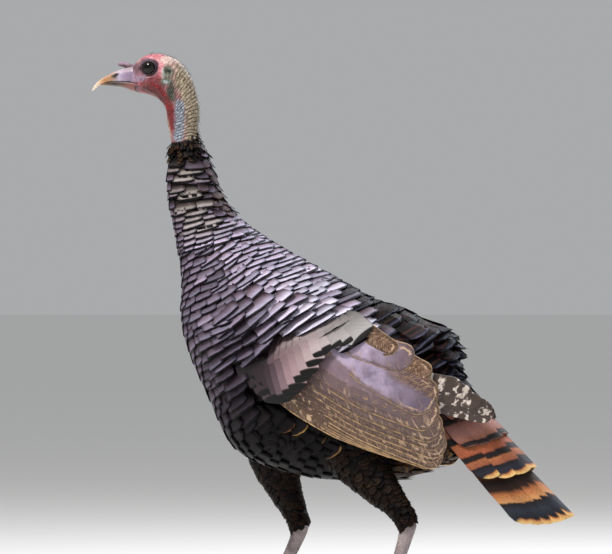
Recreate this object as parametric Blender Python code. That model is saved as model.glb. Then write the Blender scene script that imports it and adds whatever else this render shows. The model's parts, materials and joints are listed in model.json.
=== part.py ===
# Life-size still model of a turkey in wild-type bronze plumage, walking with its head up.
# It faces -X, its left side is -Y and +Z is up, in metres. The floor is z = 0, and the
# origin is below the middle of the bird. Each named object is one closed solid.
import math

import bmesh
import bpy
import numpy as np
from mathutils import Vector

# Clearances and plate sizes
GAP = 0.0003
CUT_GAP = 0.0004
FLAT_ANGLE = math.radians(0.5)
VANE_THICKNESS = 0.0008
VANE_STEP = 0.0013
VANE_BOW = 0.003

# Body sections from the bill's base to the tail's root. Each is the lower (front) point
# and the upper (back) point of the outline, x and z, then half the width.
BODY_SECTIONS = (
    (-0.2538, 0.6810, -0.2538, 0.7120, 0.0095),
    (-0.2426, 0.6785, -0.2426, 0.7206, 0.0145),
    (-0.2310, 0.6763, -0.2299, 0.7262, 0.0172),
    (-0.2190, 0.6710, -0.2125, 0.7258, 0.0185),
    (-0.2100, 0.6610, -0.1930, 0.7169, 0.0182),
    (-0.2075, 0.6500, -0.1790, 0.6990, 0.0172),
    (-0.2055, 0.6420, -0.1710, 0.6760, 0.0162),
    (-0.2040, 0.6350, -0.1680, 0.6560, 0.0155),
    (-0.2020, 0.6260, -0.1690, 0.6380, 0.0150),
    (-0.2020, 0.6170, -0.1680, 0.6225, 0.0160),
    (-0.2050, 0.6060, -0.1620, 0.6100, 0.0195),
    (-0.2085, 0.5850, -0.1524, 0.5890, 0.0255),
    (-0.2060, 0.5450, -0.1420, 0.5575, 0.0310),
    (-0.1975, 0.5050, -0.1207, 0.5260, 0.0380),
    (-0.1885, 0.4510, -0.0800, 0.4960, 0.0520),
    (-0.1865, 0.3825, -0.0140, 0.4590, 0.0720),
    (-0.1660, 0.3010, 0.0520, 0.4230, 0.0820),
    (-0.1220, 0.2325, 0.0960, 0.4080, 0.0840),
    (-0.0390, 0.2025, 0.1270, 0.3840, 0.0795),
    (0.0400, 0.1960, 0.1430, 0.3620, 0.0700),
    (0.0940, 0.2030, 0.1500, 0.3430, 0.0560),
    (0.1370, 0.2190, 0.1680, 0.3110, 0.0410),
    (0.1700, 0.2360, 0.1900, 0.2810, 0.0240),
)
# Places along the sections where one node ends and the next begins
HEAD_END = 4.4
BARE_NECK_END = 9.0
NECK_END = 13.4
TORSO_END = 19.3
TAIL_CORE_END = 22.0
EGG = 0.16

# Head
EYE_CENTRE = Vector((-0.2310, 0.0112, 0.7085))
EYE_RADIUS = 0.0092
LID_RADIUS = 0.0080
LID_THICKNESS = 0.0017
EAR_CENTRE = Vector((-0.2065, 0.0178, 0.7040))
EAR_RADIUS = 0.0052
NOSTRIL_CENTRE = Vector((-0.2735, 0.0060, 0.7000))
GAPE = Vector((-0.2450, 0.0, 0.6903))
EDGE_POWER = 0.25
# Folds of skin: place and angle from the crown where each starts and ends, and its size
CHEEK_FOLDS = (
    ((0.55, 118), (3.90, 150), 0.0016),
    ((1.30, 138), (4.15, 166), 0.0015),
)
SNOOD_LENGTH = 0.022
SNOOD_RADIUS = 0.0024
FOLD_HEIGHT = 0.0011
FOLDS_IN_NECK = 10

# Bill: x, top z, bottom z and half width from its base to its hooked tip
UPPER_BILL = (
    (-0.2541, 0.7110, 0.6912, 0.0090),
    (-0.2630, 0.7092, 0.6919, 0.0078),
    (-0.2718, 0.7070, 0.6924, 0.0068),
    (-0.2805, 0.7036, 0.6922, 0.0057),
    (-0.2883, 0.6990, 0.6906, 0.0045),
    (-0.2960, 0.6935, 0.6868, 0.0031),
    (-0.3008, 0.6880, 0.6830, 0.0018),
    (-0.3033, 0.6826, 0.6806, 0.0006),
)
LOWER_BILL = (
    (-0.2541, 0.6906, 0.6814, 0.0084),
    (-0.2630, 0.6912, 0.6850, 0.0072),
    (-0.2718, 0.6917, 0.6868, 0.0060),
    (-0.2805, 0.6914, 0.6870, 0.0047),
    (-0.2880, 0.6895, 0.6864, 0.0033),
    (-0.2930, 0.6868, 0.6854, 0.0012),
)

# Legs: centre, then half depth fore and aft and half width, from the thigh to the sole
LEFT_LEG = (
    (0.0050, -0.0420, 0.2700, 0.0400, 0.0220),
    (0.0400, -0.0480, 0.2260, 0.0330, 0.0200),
    (0.0700, -0.0530, 0.1900, 0.0225, 0.0165),
    (0.0930, -0.0550, 0.1650, 0.0150, 0.0122),
    (0.1030, -0.0550, 0.1470, 0.0128, 0.0108),
    (0.1010, -0.0540, 0.1280, 0.0092, 0.0078),
    (0.0850, -0.0530, 0.0800, 0.0074, 0.0060),
    (0.0680, -0.0510, 0.0340, 0.0078, 0.0068),
    (0.0620, -0.0500, 0.0160, 0.0105, 0.0100),
    (0.0600, -0.0500, 0.0000, 0.0085, 0.0085),
)
RIGHT_LEG = (
    (-0.0850, 0.0400, 0.2700, 0.0360, 0.0210),
    (-0.0810, 0.0480, 0.2240, 0.0310, 0.0200),
    (-0.0680, 0.0520, 0.1830, 0.0205, 0.0160),
    (-0.0560, 0.0530, 0.1560, 0.0145, 0.0122),
    (-0.0500, 0.0520, 0.1390, 0.0128, 0.0108),
    (-0.0530, 0.0515, 0.1210, 0.0092, 0.0078),
    (-0.0740, 0.0505, 0.0770, 0.0074, 0.0060),
    (-0.0960, 0.0490, 0.0340, 0.0078, 0.0068),
    (-0.1040, 0.0480, 0.0160, 0.0105, 0.0100),
    (-0.1065, 0.0480, 0.0000, 0.0085, 0.0085),
)
HOCK_PLACE = 3.75
SOLE_PLACE = 9.0
# Toes: name, length without its claw, turn from straight ahead in degrees, root radius
TOES = (
    ("middle", 0.074, 0.0, 0.0078),
    ("inner", 0.054, -36.0, 0.0070),
    ("outer", 0.058, 36.0, 0.0070),
    ("hind", 0.030, 172.0, 0.0060),
)
TOE_HEIGHT = 0.87
CLAW_LENGTH = 0.014

# Folded wing, on a dome beside the body
WING_CENTRE = Vector((0.0200, 0.0, 0.3150))
WING_SLOPE = math.radians(22.0)
WING_DOME = 0.0905
WING_DOME_LENGTH = 0.242
WING_DOME_ABOVE = 0.118
WING_DOME_BELOW = 0.170
ARM_CENTRE = Vector((-0.0360, 0.0, 0.3560))
ARM_LENGTH = 0.112
ARM_HEIGHT = 0.064
ARM_RISE = 0.0045
ARM_DEPTH = 0.0180

# Wing tiers, each from its lowest vane to its highest: a curve of roots and one of tips
# in x and z, the widths of the first and last vane, the level of the first tip, the step
# between levels and how far the roots sink
WING_TIERS = {
    "primary": {
        "count": 4, "width": (0.024, 0.030), "level": -0.0050, "step": 0.0012, "sink": 0.0,
        "roots": ((0.010, 0.320), (0.024, 0.348)),
        "tips": ((0.1970, 0.2640), (0.1920, 0.2760), (0.1790, 0.2900), (0.1590, 0.3040)),
    },
    "secondary": {
        "count": 7, "width": (0.030, 0.048), "level": 0.0005, "step": 0.0013, "sink": 0.0095,
        "roots": ((-0.0640, 0.3180), (0.0240, 0.3820)),
        "tips": ((0.0960, 0.2260), (0.1280, 0.2150), (0.1500, 0.2150), (0.1620, 0.2260),
                 (0.1580, 0.2480), (0.1500, 0.2930), (0.1120, 0.3380)),
    },
    "greater_covert": {
        "count": 6, "width": (0.032, 0.034), "level": 0.0035, "step": 0.0014, "sink": 0.0100,
        "roots": ((-0.0680, 0.3560), (0.0050, 0.3980)),
        "tips": ((-0.0290, 0.3010), (0.0120, 0.3440), (0.0580, 0.3720)),
    },
    "median_covert": {
        "count": 4, "width": (0.036, 0.038), "level": 0.0070, "step": 0.0018, "sink": 0.0125,
        "roots": ((-0.1060, 0.3760), (-0.0160, 0.4040)),
        "tips": ((-0.0700, 0.3360), (-0.0330, 0.3640), (0.0380, 0.3860)),
    },
}

# Tail, a folded roof of feathers
TAIL_SLOPE = math.radians(45.5)
TAIL_ROOT = Vector((0.1420, 0.0, 0.3200))
TAIL_PITCH = math.radians(46.0)
TAIL_RIDGE = 0.026
# Tail tiers: pairs beside the middle vane, start, root spacing, fan step, length of the
# middle vane, loss of length at the outermost, width, level of the middle vane at its tip
TAIL_TIERS = {
    "tail_feather": (5, 0.004, 0.0030, math.radians(2.4), 0.236, 0.024, 0.040, 0.0000),
    "greater_covert": (3, 0.000, 0.0040, math.radians(4.4), 0.156, 0.022, 0.046, 0.0085),
    "lesser_covert": (2, -0.004, 0.0060, math.radians(7.0), 0.082, 0.010, 0.044, 0.0140),
}
TAIL_STEP = 0.00115

# Vanes that stand out from the body: place along the sections, middle angle from the
# back, count, angle between them, length, width and how far the tips stand out
RUMP_TIERS = (
    (16.7, 0.0, 3, math.radians(25), 0.060, 0.050, 0.0110),
    (17.7, 0.0, 3, math.radians(28), 0.062, 0.048, 0.0140),
)
VENT_TIER = (19.9, math.pi, 3, math.radians(36), 0.084, 0.034, 0.0150)
BODY_VANE_SINK = 0.0080


# Curves and rings
def spline(rows, place):
    """A smooth curve through the rows, at a place counted in rows."""
    rows = np.asarray(rows, float)
    last = len(rows) - 1
    place = min(max(place, 0.0), last)
    i = min(int(place), last - 1)
    t = place - i
    a = rows[i - 1] if i else 2 * rows[0] - rows[1]
    b, c = rows[i], rows[i + 1]
    d = rows[i + 2] if i + 2 <= last else 2 * rows[last] - rows[last - 1]
    return 0.5 * (2 * b + (c - a) * t + (2 * a - 5 * b + 4 * c - d) * t * t + (3 * b - a - 3 * c + d) * t**3)


def smooth(t):
    t = min(max(t, 0.0), 1.0)
    return t * t * (3 - 2 * t)


def body_ring(place, sides, shift=0.0, fold=0.0):
    """Points round the body at a place along its sections, from the upper point."""
    lx, lz, ux, uz, half = spline(BODY_SECTIONS, place)
    centre = Vector(((lx + ux) / 2, 0, (lz + uz) / 2))
    up = Vector(((ux - lx) / 2, 0, (uz - lz) / 2))
    out = Vector((up.z, 0, -up.x)).normalized()
    egg = EGG if place > NECK_END else 0.04
    points = []
    for k in range(sides):
        angle = 2 * math.pi * k / sides
        c, s = math.cos(angle), math.sin(angle)
        grow = 1 + fold * max(0.0, 0.35 + 0.65 * c) / up.length
        side = half * (1 - egg * c) * s
        points.append(centre + up * (c * grow) + Vector((0, side * grow, 0)) + out * shift)
    return points


def leg_ring(rows, place, sides):
    x, y, z, deep, wide = spline(rows, place)
    before, after = spline(rows, place - 0.05), spline(rows, place + 0.05)
    along = Vector((after - before)[:3]).normalized()
    along = along.lerp(Vector((0, 0, -1)), smooth(place - SOLE_PLACE + 1.0)).normalized()
    across = Vector((0, 1, 0)) - along * along.y
    across.normalize()
    fore = across.cross(along)
    ring = []
    for k in range(sides):
        angle = 2 * math.pi * k / sides
        point = Vector((x, y, z)) + fore * (deep * math.cos(angle)) + across * (wide * math.sin(angle))
        point.z = max(point.z, 0.0)
        ring.append(point)
    return ring


# Solids
def finish_object(name, mesh):
    obj = bpy.data.objects.new(name, mesh)
    bpy.context.scene.collection.objects.link(obj)
    mesh.shade_smooth()
    mesh.set_sharp_from_angle(angle=math.radians(40))
    return obj


def loft(name, rings):
    """A closed solid through rings that have the same number of points."""
    shape = bmesh.new()
    made = [[shape.verts.new(p) for p in ring] for ring in rings]
    sides = len(rings[0])
    for near, far in zip(made, made[1:]):
        for k in range(sides):
            j = (k + 1) % sides
            shape.faces.new((near[k], near[j], far[j], far[k]))
    shape.faces.new(made[0])
    shape.faces.new(made[-1])
    bmesh.ops.recalc_face_normals(shape, faces=shape.faces)
    bmesh.ops.triangulate(shape, faces=shape.faces)
    mesh = bpy.data.meshes.new(name)
    shape.to_mesh(mesh)
    shape.free()
    return finish_object(name, mesh)


def sheet(name, middle, normals, thickness):
    """A thin solid round a grid of points, split into triangles alike on both faces."""
    shape = bmesh.new()
    rows, columns = len(middle), len(middle[0])
    faces = []
    for side in (0.5, -0.5):
        faces.append([[shape.verts.new(middle[i][j] + normals[i][j] * (side * thickness[i]))
                       for j in range(columns)] for i in range(rows)])
    top, bottom = faces
    for i in range(rows - 1):
        for j in range(columns - 1):
            for grid in (top, bottom):
                a, b = grid[i][j], grid[i][j + 1]
                c, d = grid[i + 1][j + 1], grid[i + 1][j]
                for corners in ((a, b, c), (a, c, d)):
                    shape.faces.new(corners if grid is top else corners[::-1])
    rim = [(i, 0) for i in range(rows)] + [(rows - 1, j) for j in range(1, columns)]
    rim += [(i, columns - 1) for i in range(rows - 2, -1, -1)] + [(0, j) for j in range(columns - 2, 0, -1)]
    for (i, j), (m, n) in zip(rim, rim[1:] + rim[:1]):
        shape.faces.new((top[i][j], bottom[i][j], bottom[m][n]))
        shape.faces.new((top[i][j], bottom[m][n], top[m][n]))
    bmesh.ops.recalc_face_normals(shape, faces=shape.faces)
    mesh = bpy.data.meshes.new(name)
    shape.to_mesh(mesh)
    shape.free()
    return finish_object(name, mesh)


def ball(name, centre, radii, segments, rings):
    """An ellipsoid."""
    shape = bmesh.new()
    bmesh.ops.create_uvsphere(shape, u_segments=segments, v_segments=rings, radius=1)
    bmesh.ops.scale(shape, vec=radii, verts=shape.verts)
    bmesh.ops.translate(shape, vec=centre, verts=shape.verts)
    mesh = bpy.data.meshes.new(name)
    shape.to_mesh(mesh)
    shape.free()
    return finish_object(name, mesh)


def ring_tube(name, centre, major, minor, tilt, squash, steps=16, sides=5):
    """A ring that lies in the body's side plane, as a lid or the rim of an ear."""
    shape = bmesh.new()
    loops = []
    for i in range(steps):
        a = 2 * math.pi * i / steps
        outward = Vector((math.cos(a), 0, math.sin(a) * squash))
        loop = []
        for k in range(sides):
            b = 2 * math.pi * k / sides
            point = outward * (major + minor * math.cos(b)) + Vector((0, minor * math.sin(b), 0))
            point.y += math.tan(tilt) * point.x
            loop.append(shape.verts.new(Vector(centre) + point))
        loops.append(loop)
    for i in range(steps):
        near, far = loops[i], loops[(i + 1) % steps]
        for k in range(sides):
            j = (k + 1) % sides
            shape.faces.new((near[k], near[j], far[j], far[k]))
    bmesh.ops.recalc_face_normals(shape, faces=shape.faces)
    mesh = bpy.data.meshes.new(name)
    shape.to_mesh(mesh)
    shape.free()
    return finish_object(name, mesh)


# Joining and cutting
def settle(obj):
    """Applies the modifiers and keeps the largest closed surface."""
    bpy.context.view_layer.update()
    graph = bpy.context.evaluated_depsgraph_get()
    mesh = bpy.data.meshes.new_from_object(obj.evaluated_get(graph))
    obj.modifiers.clear()
    obj.data = mesh
    shape = bmesh.new()
    shape.from_mesh(mesh)
    bmesh.ops.dissolve_limit(shape, angle_limit=FLAT_ANGLE, verts=shape.verts, edges=shape.edges)
    bmesh.ops.triangulate(shape, faces=shape.faces)
    unseen = set(shape.verts)
    islands = []
    while unseen:
        stack = [unseen.pop()]
        island = set(stack)
        while stack:
            for edge in stack.pop().link_edges:
                for vert in edge.verts:
                    if vert in unseen:
                        unseen.discard(vert)
                        island.add(vert)
                        stack.append(vert)
        islands.append(island)
    largest = max(islands, key=len)
    dropped = [v for island in islands if island is not largest for v in island]
    bmesh.ops.delete(shape, geom=dropped, context="VERTS")
    shape.to_mesh(mesh)
    shape.free()
    mesh.shade_smooth()
    mesh.set_sharp_from_angle(angle=math.radians(40))
    return obj


def fuse(base, pieces):
    """Joins closed pieces to the base and removes them."""
    group = bpy.data.collections.new(base.name + " pieces")
    for piece in pieces:
        group.objects.link(piece)
    join = base.modifiers.new("join", "BOOLEAN")
    join.operation = "UNION"
    join.operand_type = "COLLECTION"
    join.collection = group
    join.solver = "MANIFOLD"
    settle(base)
    for piece in pieces:
        bpy.data.objects.remove(piece)
    bpy.data.collections.remove(group)
    return base


def cut(base, cutters):
    """Takes the cutters away from the base and removes them."""
    for cutter in cutters:
        carve = base.modifiers.new("carve", "BOOLEAN")
        carve.operation = "DIFFERENCE"
        carve.object = cutter
        carve.solver = "MANIFOLD"
    settle(base)
    for cutter in cutters:
        bpy.data.objects.remove(cutter)
    return base


def grown(obj, by):
    """A copy of a solid whose surface stands out by the given distance."""
    mesh = obj.data.copy()
    shape = bmesh.new()
    shape.from_mesh(mesh)
    shape.normal_update()
    moves = [(v, v.normal * (by * min(v.calc_shell_factor(), 2.5))) for v in shape.verts]
    for vert, move in moves:
        vert.co += move
    shape.to_mesh(mesh)
    shape.free()
    return finish_object(obj.name + " grown", mesh)


def cut_clear(base, neighbours):
    return cut(base, [grown(other, CUT_GAP) for other in neighbours])


def mirrored(obj, name):
    """The same solid on the other side of the body."""
    mesh = obj.data.copy()
    shape = bmesh.new()
    shape.from_mesh(mesh)
    for vert in shape.verts:
        vert.co.y = -vert.co.y
    bmesh.ops.reverse_faces(shape, faces=shape.faces)
    shape.to_mesh(mesh)
    shape.free()
    return finish_object(name, mesh)


# Feather vanes
VANE_OUTLINE = ((0.0, 0.40, 1.0), (0.50, 1.0, 1.0), (0.88, 0.88, 0.9), (1.0, 0.24, 0.65))


def vane(name, place):
    """A vane whose middle surface is place(t, s): t runs from root to tip, s across."""
    middle, normals = [], []
    for t, share, _ in VANE_OUTLINE:
        row = [place(t, side * share) for side in (-1.0, 0.0, 1.0)]
        middle.append([p for p, _ in row])
        normals.append([n for _, n in row])
    return sheet(name, middle, normals, [VANE_THICKNESS * taper for _, _, taper in VANE_OUTLINE])


# Wing
def wing_dome(x, z):
    """Half the bird's width at the wing's lowest feather layer."""
    dx, dz = x - WING_CENTRE.x, z - WING_CENTRE.z
    a = dx * math.cos(WING_SLOPE) - dz * math.sin(WING_SLOPE)
    b = dx * math.sin(WING_SLOPE) + dz * math.cos(WING_SLOPE)
    height = WING_DOME_ABOVE if b > 0 else WING_DOME_BELOW
    inside = 1 - (a / WING_DOME_LENGTH) ** 2 - (b / height) ** 2
    return WING_DOME * math.sqrt(max(inside, 0.04))


def on_wing(x, z, level):
    """A point of the left wing and the outward direction there."""
    e = 0.002
    slope_x = (wing_dome(x + e, z) - wing_dome(x - e, z)) / (2 * e)
    slope_z = (wing_dome(x, z + e) - wing_dome(x, z - e)) / (2 * e)
    outward = Vector((-slope_x, -1.0, -slope_z)).normalized()
    return Vector((x, -wing_dome(x, z), z)) + outward * level, outward


def wing_vane(name, root, tip, width, level, sink):
    root, tip = Vector(root), Vector(tip)
    along = tip - root
    across = Vector((-along.y, along.x)).normalized()

    def place(t, s):
        spot = root + along * t + across * (s * width / 2 - VANE_BOW * math.sin(math.pi * t))
        return on_wing(spot.x, spot.y, level - sink * (1 - smooth(t / 0.5)))

    return vane(name, place)


def wing_arm(name):
    """The folded arm as a lens, which holds the roots of the flight feathers."""
    steps, rings = 16, 4
    shape = bmesh.new()

    def corner(share, angle, outer):
        a = ARM_LENGTH * share * math.cos(angle)
        b = ARM_HEIGHT * share * math.sin(angle)
        x = ARM_CENTRE.x + a * math.cos(WING_SLOPE) + b * math.sin(WING_SLOPE)
        z = ARM_CENTRE.z - a * math.sin(WING_SLOPE) + b * math.cos(WING_SLOPE)
        level = ARM_RISE * (1 - share**2) + 0.001 if outer else -ARM_DEPTH * (1 - share**4) - 0.001
        return on_wing(x, z, level)[0]

    grids = []
    for outer in (True, False):
        top = shape.verts.new(corner(0, 0, outer))
        loops = [[shape.verts.new(corner((i + 1) / rings, 2 * math.pi * k / steps, outer))
                  for k in range(steps)] for i in range(rings)]
        for k in range(steps):
            shape.faces.new((top, loops[0][k], loops[0][(k + 1) % steps]))
        for near, far in zip(loops, loops[1:]):
            for k in range(steps):
                j = (k + 1) % steps
                shape.faces.new((near[k], far[k], far[j], near[j]))
        grids.append(loops[-1])
    for k in range(steps):
        j = (k + 1) % steps
        shape.faces.new((grids[0][k], grids[1][k], grids[1][j], grids[0][j]))
    bmesh.ops.recalc_face_normals(shape, faces=shape.faces)
    mesh = bpy.data.meshes.new(name)
    shape.to_mesh(mesh)
    shape.free()
    return finish_object(name, mesh)


def wing_pieces():
    pieces = []
    for tier, plan in WING_TIERS.items():
        for i in range(plan["count"]):
            t = i / (plan["count"] - 1)
            root = spline(plan["roots"], t * (len(plan["roots"]) - 1))
            tip = spline(plan["tips"], t * (len(plan["tips"]) - 1))
            width = plan["width"][0] + (plan["width"][1] - plan["width"][0]) * t
            level = plan["level"] + plan["step"] * i
            pieces.append(wing_vane(f"{tier} {i}", root, tip, width, level, plan["sink"]))
    return pieces


# Tail
TAIL_ALONG = Vector((math.cos(TAIL_SLOPE), 0, -math.sin(TAIL_SLOPE)))
TAIL_UP = Vector((math.sin(TAIL_SLOPE), 0, math.cos(TAIL_SLOPE)))


def on_tail(run, reach, level):
    """A point of the roof-shaped tail, run from its root and reach from its ridge."""
    size = abs(reach)
    bend = min(size, TAIL_RIDGE)
    turn = TAIL_PITCH / TAIL_RIDGE
    flat = math.sin(bend * turn) / turn + max(size - TAIL_RIDGE, 0) * math.cos(TAIL_PITCH)
    drop = (1 - math.cos(bend * turn)) / turn + max(size - TAIL_RIDGE, 0) * math.sin(TAIL_PITCH)
    angle = bend * turn
    side = 1 if reach >= 0 else -1
    outward = TAIL_UP * math.cos(angle) + Vector((0, side * math.sin(angle), 0))
    spot = TAIL_ROOT + TAIL_ALONG * run + Vector((0, side * flat, 0)) - TAIL_UP * drop
    return spot + outward * level, outward


def tail_vane(name, start, root_reach, fan, length, width, level_root, level_tip):
    def place(t, s):
        run = start + length * t * math.cos(fan)
        reach = root_reach + length * t * math.sin(fan) + s * width / 2
        return on_tail(run, reach, level_root + (level_tip - level_root) * smooth(t / 0.7))

    return vane(name, place)


def tail_pieces():
    pieces = []
    for tier, (pairs, start, spacing, step, longest, loss, width, level) in TAIL_TIERS.items():
        for order in range(2 * pairs + 1):
            i = (order + 1) // 2 * (1 if order % 2 else -1)
            share = abs(i) / pairs
            pieces.append(tail_vane(f"{tier} {i}", start, spacing * i, step * i, longest - loss * share**2,
                                    width, level * 0.6 - TAIL_STEP * order, level - TAIL_STEP * order))
    return pieces


# Vanes on the body's own surface
def body_frame(place, angle):
    """Point, rearward direction and outward normal on the body's surface."""

    def point(p, a):
        lx, lz, ux, uz, half = spline(BODY_SECTIONS, p)
        centre = Vector(((lx + ux) / 2, 0, (lz + uz) / 2))
        up = Vector(((ux - lx) / 2, 0, (uz - lz) / 2))
        c, s = math.cos(a), math.sin(a)
        return centre + up * c + Vector((0, half * (1 - EGG * c) * s, 0))

    spot = point(place, angle)
    along = (point(place + 0.05, angle) - point(place - 0.05, angle)).normalized()
    around = (point(place, angle + 0.02) - point(place, angle - 0.02)).normalized()
    outward = along.cross(around).normalized()
    return spot, along, outward


def body_pieces(tier):
    place, middle, count, spread, length, width, rise = tier
    half = spline(BODY_SECTIONS, place)[4]
    pieces = []
    for order in range(count):
        i = (order + 1) // 2 * (1 if order % 2 else -1)

        def at(t, s, angle=middle + i * spread, drop=VANE_STEP * order):
            spot, along, outward = body_frame(place, angle + s * width / 2 / half)
            height = (rise + BODY_VANE_SINK) * t - BODY_VANE_SINK - drop
            return spot + along * (length * t) + outward * height, outward

        pieces.append(vane(f"body vane {i}", at))
    return pieces


# Feet
def toe_rings(foot, length, turn, radius, start, end, steps, sides=8):
    ahead = Vector((-math.cos(turn), math.sin(turn), 0))
    across = Vector((-ahead.y, ahead.x, 0))
    rings = []
    for i in range(steps + 1):
        run = start + (end - start) * i / steps
        share = run / length
        if share <= 1:
            size = radius * (1 - 0.42 * share) * (1 + 0.07 * math.cos(share * 3 * 2 * math.pi))
            height = size * TOE_HEIGHT
        else:
            claw = (run - length) / CLAW_LENGTH
            size = radius * (0.46 - 0.36 * claw)
            height = radius * 0.50 - radius * 0.22 * claw * claw
        centre = foot + ahead * run + Vector((0, 0, height))
        ring = []
        for k in range(sides):
            angle = 2 * math.pi * (k + 0.5) / sides
            point = centre + across * (size * math.cos(angle)) + Vector((0, 0, size * math.sin(angle)))
            point.z = max(point.z, 0.0 if share <= 1 else 0.0006)
            ring.append(point)
        rings.append(ring)
    return rings


def foot_nodes(side, foot, shank, inward):
    for i, (name, length, degrees, radius) in enumerate(TOES):
        turn = math.radians(degrees) * inward
        toe = loft(f"toe_{side}_{name}", toe_rings(foot, length, turn, radius, 0.0, length, 9))
        cutters = [grown(shank, CUT_GAP)]
        for _, other_length, other_degrees, other_radius in TOES[:i]:
            rings = toe_rings(foot, other_length, math.radians(other_degrees) * inward, other_radius,
                              0.0, other_length, 9)
            other = loft("earlier toe", rings)
            cutters.append(grown(other, CUT_GAP))
            bpy.data.objects.remove(other)
        cut(toe, cutters)
        loft(f"claw_{side}_{name}",
             toe_rings(foot, length, turn, radius, length + GAP, length + CLAW_LENGTH, 4))


def leg_nodes(side, rows, trunk):
    places = np.linspace(0.0, HOCK_PLACE, 11)
    thigh = loft(f"thigh_{side}", [leg_ring(rows, p, 14) for p in places])
    cut_clear(thigh, trunk)
    top = leg_ring(rows, HOCK_PLACE, 12)
    along = (Vector(spline(rows, HOCK_PLACE + 0.1)[:3]) - Vector(spline(rows, HOCK_PLACE)[:3])).normalized()
    rings = [[p + along * GAP for p in top]]
    rings += [leg_ring(rows, p, 12) for p in (4.0, 4.4, 5.0, 6.0, 7.0, 7.6, 8.0, 8.5, 9.0)]
    shank = loft(f"shank_{side}", rings)
    x, y = rows[-1][:2]
    foot_nodes(side, Vector((x, y, 0)), shank, 1 if side == "left" else -1)


# Head
def skin_fold(fold, sign, steps=7, sides=5):
    """A fold of skin from one place and angle on the body's surface to another."""
    (place_a, angle_a), (place_b, angle_b), size = fold
    rings = []
    for i in range(steps):
        t = i / (steps - 1)
        bend = math.radians(angle_a + (angle_b - angle_a) * t)
        spot, along, outward = body_frame(place_a + (place_b - place_a) * t, sign * bend)
        ahead, _, _ = body_frame(place_a + (place_b - place_a) * (t + 0.01),
                                 sign * math.radians(angle_a + (angle_b - angle_a) * (t + 0.01)))
        course = (ahead - spot).normalized()
        across = outward.cross(course).normalized()
        swell = size * (0.30 + 0.70 * math.sin(math.pi * (0.06 + 0.88 * t)))
        rings.append([spot + across * (swell * math.cos(a)) + outward * (0.8 * swell * math.sin(a))
                      for a in np.linspace(0, 2 * math.pi, sides + 1)[:-1]])
    return loft("skin fold", rings)


def eye_and_lids(side):
    sign = -1 if side == "left" else 1
    centre = Vector((EYE_CENTRE.x, sign * EYE_CENTRE.y, EYE_CENTRE.z))
    ball(f"eye_{side}", centre, (EYE_RADIUS,) * 3, 16, 10)
    socket = ball("socket", centre, (EYE_RADIUS + CUT_GAP,) * 3, 16, 10)
    reach = math.sqrt(EYE_RADIUS**2 - LID_RADIUS**2)
    lid_centre = centre + Vector((0, sign * (reach + 0.0006), 0))
    lid = ring_tube("lid", lid_centre, LID_RADIUS + 0.0006, LID_THICKNESS, sign * 0.12, 0.94)
    return socket, lid


def head_node():
    places = np.linspace(0.0, HEAD_END, 14)
    head = loft("head", [body_ring(p, 20) for p in places])
    pieces, cutters = [], []
    for side in ("left", "right"):
        sign = -1 if side == "left" else 1
        socket, lid = eye_and_lids(side)
        cutters.append(socket)
        pieces.append(lid)
        ear = Vector((EAR_CENTRE.x, sign * EAR_CENTRE.y, EAR_CENTRE.z))
        pieces.append(ring_tube("ear rim", ear, EAR_RADIUS, 0.0012, sign * 0.05, 1.25))
        cutters.append(ball("ear cup", ear + Vector((0, sign * 0.001, 0)),
                            (EAR_RADIUS * 0.72, 0.0042, EAR_RADIUS), 12, 8))
        pieces += [skin_fold(fold, sign) for fold in CHEEK_FOLDS]
    slit = ball("mouth line", GAPE + Vector((-0.0045, 0, 0)), (0.0062, 0.030, 0.0007), 12, 8)
    cutters.append(slit)
    fuse(head, pieces)
    cut(head, cutters)
    return head


def snood_node(head):
    rings = []
    for i in range(9):
        t = i / 8
        centre = Vector((-0.2490 - SNOOD_LENGTH * t, 0, 0.7130 + 0.0050 * math.sin(t * 1.9)))
        size = SNOOD_RADIUS * (1.25 - 0.45 * t) * (0.45 if i == 8 else 1)
        rings.append([centre + Vector((0, size * math.cos(a), size * math.sin(a)))
                      for a in np.linspace(0, 2 * math.pi, 11)[:-1]])
    return cut_clear(loft("snood", rings), [head])


def bill_nodes():
    for name, rows in (("bill_upper", UPPER_BILL), ("bill_lower", LOWER_BILL)):
        rings = []
        for place in np.linspace(0, len(rows) - 1, 12):
            x, top, bottom, half = spline(rows, place)
            ring = []
            for k in range(12):
                a = 2 * math.pi * k / 12
                c = math.cos(a)
                flat_side = c < 0 if name == "bill_upper" else c > 0
                rise = math.copysign(abs(c) ** (EDGE_POWER if flat_side else 1.0), c)
                z = (top + bottom) / 2 + (top - bottom) / 2 * rise
                ring.append(Vector((x, half * math.sin(a), z)))
            rings.append(ring)
        bill = loft(name, rings)
        if name == "bill_upper":
            pits = [ball("nostril", Vector((NOSTRIL_CENTRE.x, s * NOSTRIL_CENTRE.y, NOSTRIL_CENTRE.z)),
                         (0.0042, 0.0022, 0.0015), 8, 6) for s in (-1, 1)]
            cut(bill, pits)


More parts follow.
